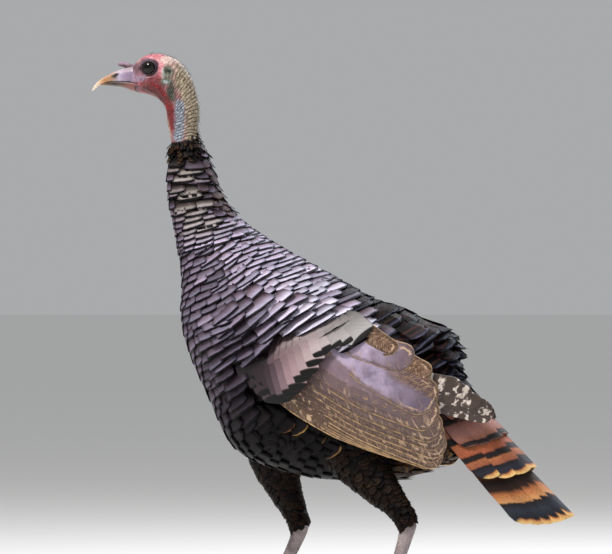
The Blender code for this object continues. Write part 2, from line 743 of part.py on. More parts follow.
def neck_nodes():
    count = 2 * FOLDS_IN_NECK
    places = np.linspace(HEAD_END, BARE_NECK_END, count + 1)
    rings = []
    for i, place in enumerate(places):
        shift = GAP if i == 0 else 0.0
        fold = FOLD_HEIGHT if i % 2 else 0.0
        rings.append(body_ring(place, 18, shift, fold))
    neck = loft("neck_upper", rings)
    dewlap = []
    for i in range(9):
        t = i / 8
        lx, lz, ux, uz, _ = spline(BODY_SECTIONS, 4.75 + 4.0 * t)
        inward = Vector((ux - lx, 0, uz - lz)).normalized()
        size = 0.0026 * (0.35 + math.sin(math.pi * (0.08 + 0.84 * t)))
        centre = Vector((lx, 0, lz)) + inward * 0.0012
        dewlap.append([centre + inward * (size * math.cos(a)) + Vector((0, 0.8 * size * math.sin(a), 0))
                       for a in np.linspace(0, 2 * math.pi, 9)[:-1]])
    fuse(neck, [loft("dewlap", dewlap)])
    rings = [body_ring(BARE_NECK_END, 20, GAP)]
    rings += [body_ring(p, 20) for p in np.linspace(BARE_NECK_END, NECK_END, 10)[1:]]
    loft("neck_lower", rings)


def torso_node():
    rings = [body_ring(NECK_END, 20, GAP)]
    rings += [body_ring(p, 20) for p in np.linspace(NECK_END, TORSO_END, 16)[1:]]
    return loft("torso", rings)


def tail_node(torso):
    rings = [body_ring(TORSO_END, 16, GAP)]
    rings += [body_ring(p, 16) for p in np.linspace(TORSO_END, TAIL_CORE_END, 5)[1:]]
    tail = loft("tail", rings)
    fuse(tail, tail_pieces() + body_pieces(VENT_TIER))
    return cut_clear(tail, [torso])


def wing_nodes(trunk):
    wing = wing_arm("wing_left")
    fuse(wing, wing_pieces())
    cut_clear(wing, trunk)
    mirrored(wing, "wing_right")


# Materials, one for each kind of surface
LOOKS = {
    "skin": ((0.62, 0.30, 0.30, 1), 0.5),
    "plumage": ((0.16, 0.10, 0.09, 1), 0.5),
    "wing": ((0.34, 0.24, 0.17, 1), 0.5),
    "horn": ((0.55, 0.42, 0.30, 1), 0.35),
    "eye": ((0.03, 0.02, 0.015, 1), 0.05),
    "scale": ((0.42, 0.33, 0.32, 1), 0.5),
}
NODE_LOOKS = {"head": "skin", "snood": "skin", "neck_upper": "skin", "neck_lower": "plumage",
              "torso": "plumage", "thigh": "plumage", "tail": "plumage", "wing": "wing", "bill": "horn",
              "claw": "horn", "eye": "eye", "toe": "scale", "shank": "scale"}


def paint():
    made = {}
    for look, (colour, roughness) in LOOKS.items():
        material = bpy.data.materials.new(look)
        material.use_nodes = True
        shader = material.node_tree.nodes["Principled BSDF"]
        shader.inputs["Base Color"].default_value = colour
        shader.inputs["Roughness"].default_value = roughness
        made[look] = material
    for obj in bpy.context.scene.objects:
        key = next((k for k in (obj.name, obj.name.split("_")[0]) if k in NODE_LOOKS), None)
        if key:
            obj.data.materials.clear()
            obj.data.materials.append(made[NODE_LOOKS[key]])


def main():
    for obj in list(bpy.data.objects):
        bpy.data.objects.remove(obj)
    head = head_node()
    bill_nodes()
    snood_node(head)
    neck_nodes()
    torso = torso_node()
    fuse(torso, [piece for tier in RUMP_TIERS for piece in body_pieces(tier)])
    trunk = [torso, tail_node(torso)]
    leg_nodes("left", LEFT_LEG, trunk)
    leg_nodes("right", RIGHT_LEG, trunk)
    wing_nodes(trunk)
    paint()


main()
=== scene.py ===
import json
import math

import bmesh
import bpy
import numpy as np
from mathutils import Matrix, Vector, kdtree, noise

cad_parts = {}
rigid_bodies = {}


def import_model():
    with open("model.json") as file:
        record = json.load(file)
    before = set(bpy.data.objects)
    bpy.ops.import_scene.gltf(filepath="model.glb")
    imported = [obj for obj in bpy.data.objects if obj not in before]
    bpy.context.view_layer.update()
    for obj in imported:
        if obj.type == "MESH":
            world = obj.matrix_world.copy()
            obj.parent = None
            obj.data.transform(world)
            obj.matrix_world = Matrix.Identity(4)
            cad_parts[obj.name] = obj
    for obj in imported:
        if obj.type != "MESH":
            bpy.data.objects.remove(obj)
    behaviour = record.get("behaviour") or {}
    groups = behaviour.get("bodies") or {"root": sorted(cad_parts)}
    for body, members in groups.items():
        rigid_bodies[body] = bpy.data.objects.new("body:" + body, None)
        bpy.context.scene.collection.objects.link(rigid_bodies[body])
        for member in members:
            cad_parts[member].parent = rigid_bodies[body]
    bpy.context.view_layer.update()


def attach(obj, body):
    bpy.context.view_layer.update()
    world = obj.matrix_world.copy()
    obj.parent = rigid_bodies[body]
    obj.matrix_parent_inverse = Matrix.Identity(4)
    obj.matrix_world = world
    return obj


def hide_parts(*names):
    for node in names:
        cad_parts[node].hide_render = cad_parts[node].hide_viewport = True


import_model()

# A turkey in bronze plumage, walking with its head up. It faces -X, and its left side is -Y.
# One skin carries the flesh, and every feather is a thin closed blade that grows from it.
# Lengths are in metres, and place and angle count along and round the body's sections.


def hexColour(text):
    parts = [int(text[i:i + 2], 16) / 255 for i in (1, 3, 5)]
    return tuple(c / 12.92 if c <= 0.04045 else ((c + 0.055) / 1.055) ** 2.4 for c in parts) + (1.0,)


def smooth(low, high, x):
    t = np.clip((np.asarray(x, float) - low) / (high - low), 0, 1)
    return t * t * (3 - 2 * t)


def most(*shares):
    return np.maximum.reduce(shares)


def unit(v):
    return v / np.maximum(np.linalg.norm(v, axis=-1, keepdims=True), 1e-12)


def splineAt(rows, place):  # a smooth curve through the rows, at places counted in rows
    rows = np.asarray(rows, float)
    last = len(rows) - 1
    place = np.clip(np.asarray(place, float), 0, last)
    i = np.minimum(place.astype(int), last - 1)
    t = (place - i)[..., None]
    more = np.vstack([2 * rows[0] - rows[1], rows, 2 * rows[last] - rows[last - 1]])
    a, b, c, d = more[i], more[i + 1], more[i + 2], more[i + 3]
    return 0.5 * (2 * b + (c - a) * t + (2 * a - 5 * b + 4 * c - d) * t**2 + (3 * b - a - 3 * c + d) * t**3)


def tubeGrid(steps, sides):  # places along a tube and turns round it, as two flat arrays
    turns = np.arange(sides) / sides * 2 * math.pi
    return (grid.ravel() for grid in np.meshgrid(steps, turns, indexing="ij"))


def setMark(mesh, name, values, width=1):
    kind, field = ("FLOAT", "value") if width == 1 else ("FLOAT_VECTOR", "vector")
    data = mesh.attributes.new(name, kind, "POINT").data
    data.foreach_set(field, np.asarray(values, np.float32).ravel())


def addPiece(name, points, faces, marks=None, material=None):
    mesh = bpy.data.meshes.new(name)
    mesh.from_pydata(np.asarray(points, float).tolist(), [], faces)
    for mark, values in (marks or {}).items():
        setMark(mesh, mark, values)
    mesh.shade_smooth()
    if material:
        mesh.materials.append(material)
    piece = bpy.data.objects.new(name, mesh)
    bpy.context.scene.collection.objects.link(piece)
    return piece


def readMark(mesh, name, width=1):
    values = np.zeros(len(mesh.vertices) * width, np.float32)
    mesh.attributes[name].data.foreach_get("value" if width == 1 else "vector", values)
    return values.reshape(-1, width) if width > 1 else values


def tubeFaces(rings, sides, closed=True):  # quads between rings of points, with both ends shut
    faces = []
    for r in range(rings - 1):
        for k in range(sides):
            j = (k + 1) % sides
            faces.append((r * sides + k, r * sides + j, (r + 1) * sides + j, (r + 1) * sides + k))
    if closed:
        faces.append(tuple(range(sides))[::-1])
        faces.append(tuple(range((rings - 1) * sides, rings * sides)))
    return faces


def faceOut(piece):
    shape = bmesh.new()
    shape.from_mesh(piece.data)
    bmesh.ops.recalc_face_normals(shape, faces=shape.faces)
    shape.to_mesh(piece.data)
    shape.free()


def plainMesh(piece):  # turns what the modifiers make into the piece's own mesh
    bpy.context.view_layer.update()
    graph = bpy.context.evaluated_depsgraph_get()
    made = bpy.data.meshes.new_from_object(piece.evaluated_get(graph))
    piece.modifiers.clear()
    piece.data = made
    return piece


def joinAll(piece, extras):  # makes one closed mesh of a piece and what grows out of it
    group = bpy.data.collections.new(piece.name + " parts")
    for extra in extras:
        faceOut(extra)
        group.objects.link(extra)
    join = piece.modifiers.new("join", "BOOLEAN")
    join.operation, join.solver = "UNION", "MANIFOLD"
    join.operand_type, join.collection = "COLLECTION", group
    plainMesh(piece)
    for extra in extras:
        bpy.data.objects.remove(extra)
    bpy.data.collections.remove(group)


# The output that a link takes from a node, where that isn't the first: a mix's colour, an
# attribute's number, and Object coordinates
mainOutput = {"ShaderNodeMix": 2, "ShaderNodeAttribute": 2, "ShaderNodeTexCoord": 3}


def addNode(tree, kind, settings=None, links=None):
    node = tree.nodes.new(kind)
    if kind == "ShaderNodeMix":
        node.data_type = "RGBA"
    for name, value in (settings or {}).items():
        if name == "stops":
            ramp = node.color_ramp.elements
            while len(ramp) < len(value):
                ramp.new(0.5)
            for stop, (place, colour) in zip(ramp, value):
                stop.position = place
                stop.color = hexColour(colour)
        elif isinstance(name, str) and hasattr(node, name):
            setattr(node, name, value)
        else:
            node.inputs[name].default_value = hexColour(value) if str(value)[0] == "#" else value
    for name, source in (links or {}).items():
        if not isinstance(source, bpy.types.NodeSocket):
            source = source.outputs[mainOutput.get(source.bl_idname, 0)]
        tree.links.new(source, node.inputs[name])
    return node


def makeMaterial(name, settings, marks, steps, relief=None):
    # Each step names a node, its kind, its settings, and the marks or earlier steps that it is
    # linked to. The step called colour goes to the shader. A MapRange takes its two ends at 1 and
    # 2 and gives those at 3 and 4, and a Mix blends 6 into 7 by 0.
    material = bpy.data.materials.new(name)
    material.use_nodes = True
    tree = material.node_tree
    shader = tree.nodes["Principled BSDF"]
    for key, value in settings.items():
        shader.inputs[key].default_value = value
    nodes = {mark: addNode(tree, "ShaderNodeAttribute", {"attribute_name": mark}) for mark in marks}
    for step, kind, given, links in steps:
        sources = {socket: nodes[source] for socket, source in links.items()}
        nodes[step] = addNode(tree, "ShaderNode" + kind, given, sources)
    if "colour" in nodes:
        colour = nodes["colour"]
        tree.links.new(colour.outputs[mainOutput.get(colour.bl_idname, 0)], shader.inputs["Base Color"])
    if relief:
        height, strength, depth = relief
        bump = addNode(tree, "ShaderNodeBump", {"Strength": strength, "Distance": depth}, {"Height": nodes[height]})
        tree.links.new(bump.outputs[0], shader.inputs["Normal"])
    return material


# Settings of the sums that the materials use most
times, plus, larger, timesPlus = ({"operation": name} for name in ("MULTIPLY", "ADD", "MAXIMUM", "MULTIPLY_ADD"))


# Sections from the bill's base to the tail's root: the lower point and the upper point, x and
# z, then half the width
body = {
    "sections": (
        (-0.2538, 0.6810, -0.2538, 0.7120, 0.0095),
        (-0.2426, 0.6785, -0.2426, 0.7206, 0.0145),
        (-0.2310, 0.6763, -0.2299, 0.7262, 0.0172),
        (-0.2190, 0.6710, -0.2125, 0.7258, 0.0185),
        (-0.2100, 0.6610, -0.1930, 0.7169, 0.0182),
        (-0.2075, 0.6500, -0.1790, 0.6990, 0.0172),
        (-0.2055, 0.6420, -0.1710, 0.6760, 0.0162),
        (-0.2040, 0.6350, -0.1680, 0.6560, 0.0155),
        (-0.2020, 0.6260, -0.1690, 0.6380, 0.0150),
        (-0.2020, 0.6170, -0.1680, 0.6225, 0.0160),
        (-0.2050, 0.6060, -0.1620, 0.6100, 0.0195),
        (-0.2085, 0.5850, -0.1524, 0.5890, 0.0255),
        (-0.2060, 0.5450, -0.1420, 0.5575, 0.0310),
        (-0.1975, 0.5050, -0.1207, 0.5260, 0.0380),
        (-0.1885, 0.4510, -0.0800, 0.4960, 0.0520),
        (-0.1865, 0.3825, -0.0140, 0.4590, 0.0720),
        (-0.1550, 0.3010, 0.0520, 0.4230, 0.0820),
        (-0.1165, 0.2320, 0.0960, 0.4080, 0.0840),
        (-0.0390, 0.2025, 0.1270, 0.3840, 0.0795),
        (0.0400, 0.1960, 0.1430, 0.3620, 0.0700),
        (0.0940, 0.2030, 0.1500, 0.3430, 0.0560),
        (0.1370, 0.2190, 0.1680, 0.3110, 0.0410),
        (0.1700, 0.2360, 0.1900, 0.2810, 0.0240),
    ),
    "lastPlace": 21.98, "coatDepth": 0.0085,
}


def ringPoint(place, angle):
    row = splineAt(body["sections"], place)
    mid, up = (row[..., 0:2] + row[..., 2:4]) / 2, (row[..., 2:4] - row[..., 0:2]) / 2
    egg = np.interp(place, [13.2, 13.8], [0.04, 0.16])
    c, s = np.cos(angle), np.sin(angle)
    xz = mid + up * c[..., None]
    return np.stack([xz[..., 0], row[..., 4] * (1 - egg * c) * s, xz[..., 1]], -1)


# The folded wing lies on a dome beside the body, and its arm lifts the coat over it
wing = {"x": 0.0200, "z": 0.3150, "slope": math.radians(22), "dome": 0.0905, "length": 0.242,
        "above": 0.118, "below": 0.170, "armX": -0.0360, "armZ": 0.3560, "armLength": 0.112,
        "armHeight": 0.064}


def wingAxes(x, z, centreX, centreZ):
    dx, dz = x - centreX, z - centreZ
    c, s = math.cos(wing["slope"]), math.sin(wing["slope"])
    return dx * c - dz * s, dx * s + dz * c


def domeWidth(x, z):
    a, b = wingAxes(x, z, wing["x"], wing["z"])
    height = np.where(b > 0, wing["above"], wing["below"])
    return wing["dome"] * np.sqrt(np.maximum(1 - (a / wing["length"])**2 - (b / height)**2, 0.04))


def armShare(x, z):
    a, b = wingAxes(x, z, wing["armX"], wing["armZ"])
    return 1 - smooth(0.90, 1.25, np.hypot(a / wing["armLength"], b / wing["armHeight"]))


def coatPoint(place, angle):
    p = ringPoint(place, angle)
    side = np.abs(p[..., 1])
    lift = domeWidth(p[..., 0], p[..., 2]) - side
    lift = (lift + np.sqrt(lift**2 + 0.004**2)) / 2 * armShare(p[..., 0], p[..., 2]) * smooth(0.02, 0.05, side)
    p[..., 1] += np.sign(p[..., 1]) * lift
    return p


def frameAt(pointAt, place, angle):
    e = 0.02
    along = (pointAt(place + e, angle) - pointAt(place - e, angle)) / (2 * e)
    around = (pointAt(place, angle + e) - pointAt(place, angle - e)) / (2 * e)
    return pointAt(place, angle), along, around, unit(np.cross(along, around))


# Skin

head = {
    "eye": (-0.2278, 0.0100, 0.7094), "eyeRadius": 0.0098, "aperture": 0.0083, "lidRing": 0.0084,
    "lidReach": 0.0130,
    "ear": (-0.2041, 0.7044), "nostril": (-0.2725, 0.7000),
    "mouth": ((-0.2620, 0.6912), (-0.2500, 0.6913), (-0.2418, 0.6901)),
    "foldSpacing": 0.0049, "foldHeight": 0.00105, "beadSize": 0.0032, "beadHeight": 0.00055,
}


def napeRun(places):  # distance along the nape, from the crown
    fine = np.linspace(0, 9.6, 400)
    p = ringPoint(fine, np.zeros_like(fine))
    run = np.concatenate([[0], np.cumsum(np.linalg.norm(np.diff(p, axis=0), axis=1))])
    return np.interp(places, fine, run)


def acrossView(x, y):  # across the picture, as seen 10 degrees from the side
    return 0.985 * x - 0.174 * np.abs(y)


def segmentDistance(x, z, line):
    best = np.full(x.shape, 9.0)
    for (ax, az), (bx, bz) in zip(line, line[1:]):
        t = np.clip(((x - ax) * (bx - ax) + (z - az) * (bz - az)) / ((bx - ax)**2 + (bz - az)**2), 0, 1)
        best = np.minimum(best, np.hypot(x - ax - t * (bx - ax), z - az - t * (bz - az)))
    return best


def shapeSkin(place, angle, points, outward):
    x, y, z = points[:, 0], points[:, 1], points[:, 2]
    side = np.abs(y)
    turn = np.abs((angle + math.pi) % (2 * math.pi) - math.pi)  # 0 at the nape, pi at the throat
    lumps = np.array([noise.noise(Vector(p) * 90) for p in points])
    run = napeRun(place)
    # creased rolls across the nape, broken into short beads on the sides
    warp = np.array([noise.noise(Vector((p[0] * 60, p[1] * 60, p[2] * 60 + 7))) for p in points])
    phase = run / head["foldSpacing"] + 0.55 * warp + 0.12 * np.sin(angle * 5)
    roll = np.abs(np.sin(math.pi * phase))**0.55
    span = np.abs(np.sin(math.pi * (angle * 2.3 + 0.37 * np.floor(phase) + 0.8 * warp)))**0.35
    nape = smooth(3.1, 4.2, place) * (1 - smooth(9.1, 9.5, place)) * (1 - smooth(1.75, 2.35, turn))
    rolls = nape * roll * (0.35 + 0.65 * span)
    # beads of skin on the cheek, the throat and the neck's sides
    cells = np.array([noise.voronoi(Vector(p) / head["beadSize"])[0][:2] for p in points])
    bead = np.clip(cells[:, 1] - cells[:, 0], 0, 0.55) / 0.55
    cheek = smooth(1.2, 2.2, place) * (1 - smooth(9.0, 9.5, place)) * smooth(1.45, 1.9, turn)
    cheek = np.maximum(cheek, 0.55 * smooth(4.0, 5.0, place) * (1 - smooth(9.0, 9.5, place)) * smooth(1.2, 1.6, turn))
    shift = head["foldHeight"] * (rolls - 0.35 * nape) + head["beadHeight"] * cheek * (bead - 0.4)
    shift += 0.00025 * lumps * (1 - smooth(9.0, 10.0, place))
    # folds that run from the gape down the throat, and the loose skin in front of it
    folds = (((-0.2440, 0.6885), (-0.2330, 0.6840), (-0.2200, 0.6760), (-0.2120, 0.6660)),
             ((-0.2300, 0.6900), (-0.2180, 0.6850), (-0.2080, 0.6720), (-0.2040, 0.6560)))
    for fold in folds:
        shift += 0.0011 * np.exp(-(segmentDistance(x, z, fold) / 0.0016)**2) * smooth(0.003, 0.008, side)
    shift += (0.0022 * np.exp(-(side / 0.0022)**2) * smooth(2.6, 2.95, turn) * smooth(4.6, 6.0, place)
              * (1 - smooth(8.2, 9.2, place)))
    # the ear: a cup with a raised rim
    earGap = np.hypot(x - head["ear"][0], (z - head["ear"][1]) / 1.2)
    shift += 0.0008 * np.exp(-((earGap - 0.0056) / 0.0014)**2) - 0.0030 * np.exp(-(earGap / 0.0033)**4)
    # the mouth's corner
    mouth = segmentDistance(acrossView(x, y), z, head["mouth"])
    shift -= 0.0012 * np.exp(-(mouth / 0.00075)**2) * (1 - smooth(-0.2430, -0.2380, x)) * smooth(0.003, 0.006, side)
    shift += 0.0005 * np.exp(-((mouth - 0.0022) / 0.0010)**2) * (1 - smooth(-0.2440, -0.2380, x))
    shift = shift * smooth(0.2, 1.2, place) - 0.0012 * (1 - smooth(0.0, 0.9, place))
    moved = points + outward * shift[:, None]
    # sockets: the skin wraps the eyeball and turns in under the lids
    ex, ey, ez = head["eye"]
    r = np.hypot(moved[:, 0] - ex, moved[:, 2] - ez)
    ball = ey + np.sqrt(np.maximum(head["eyeRadius"]**2 - r**2, 0))
    away = smooth(head["aperture"], head["lidReach"], r)
    rim = ball + 0.0006 + 0.0006 * np.exp(-((r - 0.0094) / 0.0010)**2) + 0.00035 * np.sin(r / 0.0011 * math.pi)**2
    y2 = np.where(r < head["aperture"], 0.0075, rim + (np.abs(moved[:, 1]) - rim) * away)
    near = (np.abs(moved[:, 1]) > 0.006) & (r < head["lidReach"])
    moved[:, 1] = np.where(near, np.sign(moved[:, 1]) * y2, moved[:, 1])
    # how deep a point lies in a crease of the folds or between beads, used below as painted shade
    crease = np.clip(1 - np.where(nape > 0.3, rolls / np.maximum(nape, 0.01), 0.4 + 0.6 * bead), 0, 1)
    return moved, crease * np.maximum(nape, cheek)


def skinMarks(place, angle, points, crease):
    x, z = points[:, 0], points[:, 2]
    turn = np.abs((angle + math.pi) % (2 * math.pi) - math.pi)
    bare = most(1 - smooth(9.2, 9.7, place), smooth(2.45, 2.65, turn) * (1 - smooth(10.5, 11.1, place)))
    wobble = np.array([noise.noise(Vector(p) * 150) for p in points]) * 0.0016
    h = acrossView(x, points[:, 1])

    def spot(atX, atZ, halfX, halfZ, soft=0.3):
        return 1 - smooth(1 - soft, 1 + soft, np.hypot((h - atX) / halfX, (z - atZ) / halfZ) + wobble / halfX)

    def strip(line, half, soft=0.35):
        return 1 - smooth(half * (1 - soft), half * (1 + soft), segmentDistance(h, z, line) + wobble)

    throat = strip(((-0.2230, 0.6850), (-0.2142, 0.6804), (-0.2069, 0.6710), (-0.2011, 0.6596), (-0.1992, 0.6471),
                    (-0.1985, 0.6360)), 0.0052)
    lid = spot(-0.2272, 0.7096, 0.0130, 0.0118, 0.18)
    return {
        "crease": crease * bare,
        "cheek": most(spot(-0.2240, 0.6880, 0.0170, 0.0105), spot(-0.2120, 0.6930, 0.0070, 0.0100)),
        "red": throat * bare,
        "pink": most(spot(-0.2120, 0.7110, 0.0045, 0.0110), spot(-0.2180, 0.7225, 0.0140, 0.0075)),
        # pale: a painted highlight on the top of the crown and of the forehead, and a pale patch behind the ear
        "pale": most(spot(-0.2010, 0.7190, 0.0120, 0.0060), 0.8 * spot(-0.1915, 0.7085, 0.0070, 0.0080, 0.5),
                     0.8 * spot(-0.2440, 0.7180, 0.0060, 0.0030)),
        "tan": smooth(3.4, 4.6, place + wobble * 200) * (1 - smooth(1.15, 1.60, turn)) * bare,
        "blue": strip(((-0.1885, 0.6640), (-0.1885, 0.6502), (-0.1890, 0.6346), (-0.1905, 0.6210)), 0.0058, 0.5)
        * bare,
        "lavender": most((1 - smooth(-0.2480, -0.2370, h + wobble * 2)) * smooth(0.6880, 0.6930, z),
                         spot(-0.2390, 0.6960, 0.0090, 0.0036, 0.6)),
        "dusk": most(0.9 * spot(-0.2415, 0.7085, 0.0062, 0.0085, 0.6),
                     (1 - smooth(-0.2440, -0.2330, h)) * (1 - smooth(0.6860, 0.6900, z))),
        # green: grey-green skin on the ear patch and the patch below it; the third spot, behind the jaw, is painted
        # shade
        "green": most(spot(-0.2040, 0.7040, 0.0066, 0.0092), spot(-0.2050, 0.6918, 0.0080, 0.0052),
                      spot(-0.1990, 0.6770, 0.0062, 0.0115, 0.6)) * (1 - 0.7 * throat),
        # dark: painted shade behind the jaw and along the lower jaw under the cheek, and the dark core of the ear's
        # hollow
        "dark": most(spot(-0.2026, 0.7046, 0.0026, 0.0036, 0.5), 0.6 * spot(-0.2000, 0.6790, 0.0045, 0.0100, 0.6),
                     0.45 * strip(((-0.2330, 0.6835), (-0.2200, 0.6790), (-0.2110, 0.6700)), 0.0040, 0.7)),
        "white": most(0.7 * spot(-0.2056, 0.6914, 0.0030, 0.0016, 0.8),
                      0.35 * spot(-0.2095, 0.7020, 0.0016, 0.0070, 0.8)),
        "front": smooth(2.75, 3.0, turn) * smooth(5.0, 6.0, place) * bare,
        "lid": lid,
        "lidLine": np.exp(-((np.hypot(h + 0.2274, z - 0.7099) - 0.0114) / 0.0006)**2)
        * (1 - smooth(0.7030, 0.7070, z)) * lid,
        # mouth: a painted shade line along the gape
        "mouth": np.exp(-((segmentDistance(h, z, head["mouth"]) + 0.3 * wobble) / 0.0008)**2),
        "feathered": smooth(9.0, 9.4, place),
    }


def legPoint(rows, place, angle):
    row = splineAt(rows, place)
    e = 0.05
    along = unit((splineAt(rows, place + e) - splineAt(rows, place - e))[..., :3])
    down = smooth(8.0, 9.0, place)[..., None]
    along = unit(along * (1 - down) + np.array([0, 0, -1.0]) * down)
    across = unit(np.array([0, 1.0, 0]) - along * along[..., 1:2])
    fore = np.cross(across, along)
    ray = fore * (row[..., 3:4] * np.cos(angle)[..., None]) + across * (row[..., 4:5] * np.sin(angle)[..., None])
    return row[..., :3] + ray, along, unit(ray)


# Legs: centre, then half depth fore and aft and half width, from the thigh to the sole
legs = {
    "left": (
        (0.0050, -0.0420, 0.2700, 0.0400, 0.0220), (0.0400, -0.0480, 0.2260, 0.0330, 0.0200),
        (0.0700, -0.0530, 0.1900, 0.0225, 0.0165), (0.0930, -0.0550, 0.1650, 0.0150, 0.0122),
        (0.1030, -0.0550, 0.1470, 0.0128, 0.0108), (0.1010, -0.0540, 0.1280, 0.0092, 0.0078),
        (0.0850, -0.0530, 0.0800, 0.0074, 0.0060), (0.0680, -0.0510, 0.0340, 0.0078, 0.0068),
        (0.0620, -0.0500, 0.0160, 0.0105, 0.0100), (0.0600, -0.0500, 0.0000, 0.0085, 0.0085),
    ),
    "right": (
        (-0.0850, 0.0400, 0.2700, 0.0360, 0.0210), (-0.0810, 0.0480, 0.2240, 0.0310, 0.0200),
        (-0.0680, 0.0520, 0.1830, 0.0205, 0.0160), (-0.0560, 0.0530, 0.1560, 0.0145, 0.0122),
        (-0.0500, 0.0520, 0.1390, 0.0128, 0.0108), (-0.0530, 0.0515, 0.1210, 0.0092, 0.0078),
        (-0.0740, 0.0505, 0.0770, 0.0074, 0.0060), (-0.0960, 0.0490, 0.0340, 0.0078, 0.0068),
        (-0.1040, 0.0480, 0.0160, 0.0105, 0.0100), (-0.1065, 0.0480, 0.0000, 0.0085, 0.0085),
    ),
    "hock": 3.75, "skinDepth": 0.0045,
}


snood = {
    "girth": ((0.0046,), (0.0041,), (0.0037,), (0.0036,), (0.0035,), (0.0029,), (0.0003,)),
    "line": ((-0.2490, 0.7080), (-0.2548, 0.7110), (-0.2604, 0.7134), (-0.2660, 0.7148), (-0.2714, 0.7152)),
}


def buildSkin(material):
    sides = 120
    places = np.concatenate([np.arange(0, 9.6, 0.05), np.arange(9.6, body["lastPlace"], 0.2), [body["lastPlace"]]])
    place, angle = tubeGrid(places, sides)
    points, _, _, outward = frameAt(coatPoint, place, angle)
    outward[place > 21.9] = (0.7, 0, -0.7)
    depth = body["coatDepth"] * smooth(9.0, 10.2, place) * (0.55 + 0.45 * smooth(11.0, 14.0, place))
    points = points - outward * depth[:, None]
    bare = place < 9.7
    crease = np.zeros(len(points))
    points[bare], crease[bare] = shapeSkin(place[bare], angle[bare], points[bare], outward[bare])
    marks = skinMarks(place, angle, points, crease)
    faces = tubeFaces(len(places), sides)
    skin = addPiece("skin", points, faces, marks, material)
    faceOut(skin)
    # thighs under their feathers, and the snood on the forehead
    extras = []
    for side in ("left", "right"):
        thigh, turn = tubeGrid(np.linspace(0, legs["hock"], 40), 40)
        p, _, out = legPoint(legs[side], thigh, turn)
        p = p - out * (legs["skinDepth"] * (1 - smooth(3.2, legs["hock"], thigh)))[:, None]
        extras.append(addPiece("thigh", p, tubeFaces(40, 40)))
    t, turn = tubeGrid(np.linspace(0, 1, 40), 24)
    girth = splineAt(snood["girth"], t * (len(snood["girth"]) - 1))[:, 0] * (1 + 0.06 * np.sin(t * 46) * (1 - t))
    centreX, centreZ = splineAt(snood["line"], t * (len(snood["line"]) - 1)).T
    rod = [centreX + 0.45 * girth * np.cos(turn), girth * np.sin(turn), centreZ + 0.9 * girth * np.cos(turn)]
    extras.append(addPiece("snood", np.stack(rod, -1), tubeFaces(40, 24)))
    joinAll(skin, extras)
    # the marks are read again by place, because joining doesn't keep them
    tree = kdtree.KDTree(len(points))
    for i, p in enumerate(points):
        tree.insert(p, i)
    tree.balance()
    mesh = skin.data
    found = [tree.find(v.co)[1:] for v in mesh.vertices]
    nearest = np.array([f[0] for f in found])
    top = np.array([v.co.z for v in mesh.vertices])
    onSnood = np.array([f[1] > 0.0006 and v.co.z > 0.6 for f, v in zip(found, mesh.vertices)], float)
    for name, values in marks.items():
        values = values[nearest]
        # on the snood: lavender all over, with dusk darkening its underside as painted shade
        if name in ("lavender", "dusk"):
            values = np.maximum(values, onSnood * (1 if name == "lavender" else 1 - smooth(0.7120, 0.7152, top)))
        elif name != "feathered":
            values = values * (1 - onSnood)
        if mesh.attributes.get(name):
            mesh.attributes.remove(mesh.attributes[name])
        setMark(mesh, name, values)
    mesh.materials.clear()
    mesh.materials.append(material)
    mesh.shade_smooth()
    return skin


def skinMaterial():
    # Bare facial skin: moist, soft and slightly translucent, in low folds and beads. Red where the
    # blood shows, lavender before the eye, and tan on the nape. Painted shade darkens the creases, the
    # skin under the feathers, the gape, the snood's underside and the hollows behind the jaw, and a
    # painted highlight lies on the crown.
    layers = (
        ("cheek", "#682c31", "#a35257"), ("red", "#65181b", "#a62b2f"), ("pink", "#a4545f", "#d48f98"),
        ("pale", "#b0918c", "#dcc5bc"), ("tan", "#705f48", "#c9baa1"), ("blue", "#535c69", "#b6bfcc"),
        ("lavender", "#6b5868", "#a892a8"), ("dusk", "#412c32", "#7a5a63"), ("green", "#39423a", "#868878"),
        ("dark", "#14150f", "#2a2a20"), ("white", "#b9c2c6", "#d8dee0"), ("front", "#b08478", "#d9b9a4"),
        ("lid", "#2c1b26", "#634456"), ("lidLine", "#7a5a58", "#a98a80"), ("mouth", "#0e0808", "#1c1010"),
    )
    steps = [
        ("object", "TexCoord", {}, {}),
        # mottling 1.5 mm across, veins 3 mm apart, and pebbles of about 1 mm
        ("mottle", "TexNoise", {"Scale": 700.0, "Detail": 4.0, "Roughness": 0.6}, {"Vector": "object"}),
        ("veins", "TexNoise", {"Scale": 300.0, "Detail": 4.0, "Roughness": 0.65, "Distortion": 1.0},
         {"Vector": "object"}),
        ("pebbles", "TexVoronoi", {"Scale": 900.0}, {"Vector": "object"}),
        ("colour", "ValToRGB", {"stops": ((0.3, "#8c555c"), (0.7, "#c08086"))}, {0: "mottle"}),
    ]
    for name, dark, pale in layers:
        steps += [("own", "ValToRGB", {"stops": ((0.36, dark), (0.64, pale))}, {0: "veins"}),
                  ("colour", "Mix", {}, {0: name, 6: "colour", 7: "own"})]
    # painted shade in the creases of the folds and between the beads
    steps += [("colour", "Mix", {"blend_type": "MULTIPLY", 7: "#33261f"}, {0: "crease", 6: "colour"}),
              # painted shade: the skin is near black where the feathers cover it
              ("colour", "Mix", {7: "#1a1213"}, {0: "feathered", 6: "colour"})]
    settings = {"Roughness": 0.42, "IOR": 1.4, "Subsurface Weight": 0.12, "Subsurface Scale": 0.004,
                "Subsurface Radius": (1.0, 0.35, 0.2)}
    marks = ["crease", "feathered"] + [layer[0] for layer in layers]
    return makeMaterial("bare turkey skin", settings, marks, steps, ("pebbles", 0.35, 0.0005))


# Blades: a grid of points with a shaft, closed below by a thinner copy of itself

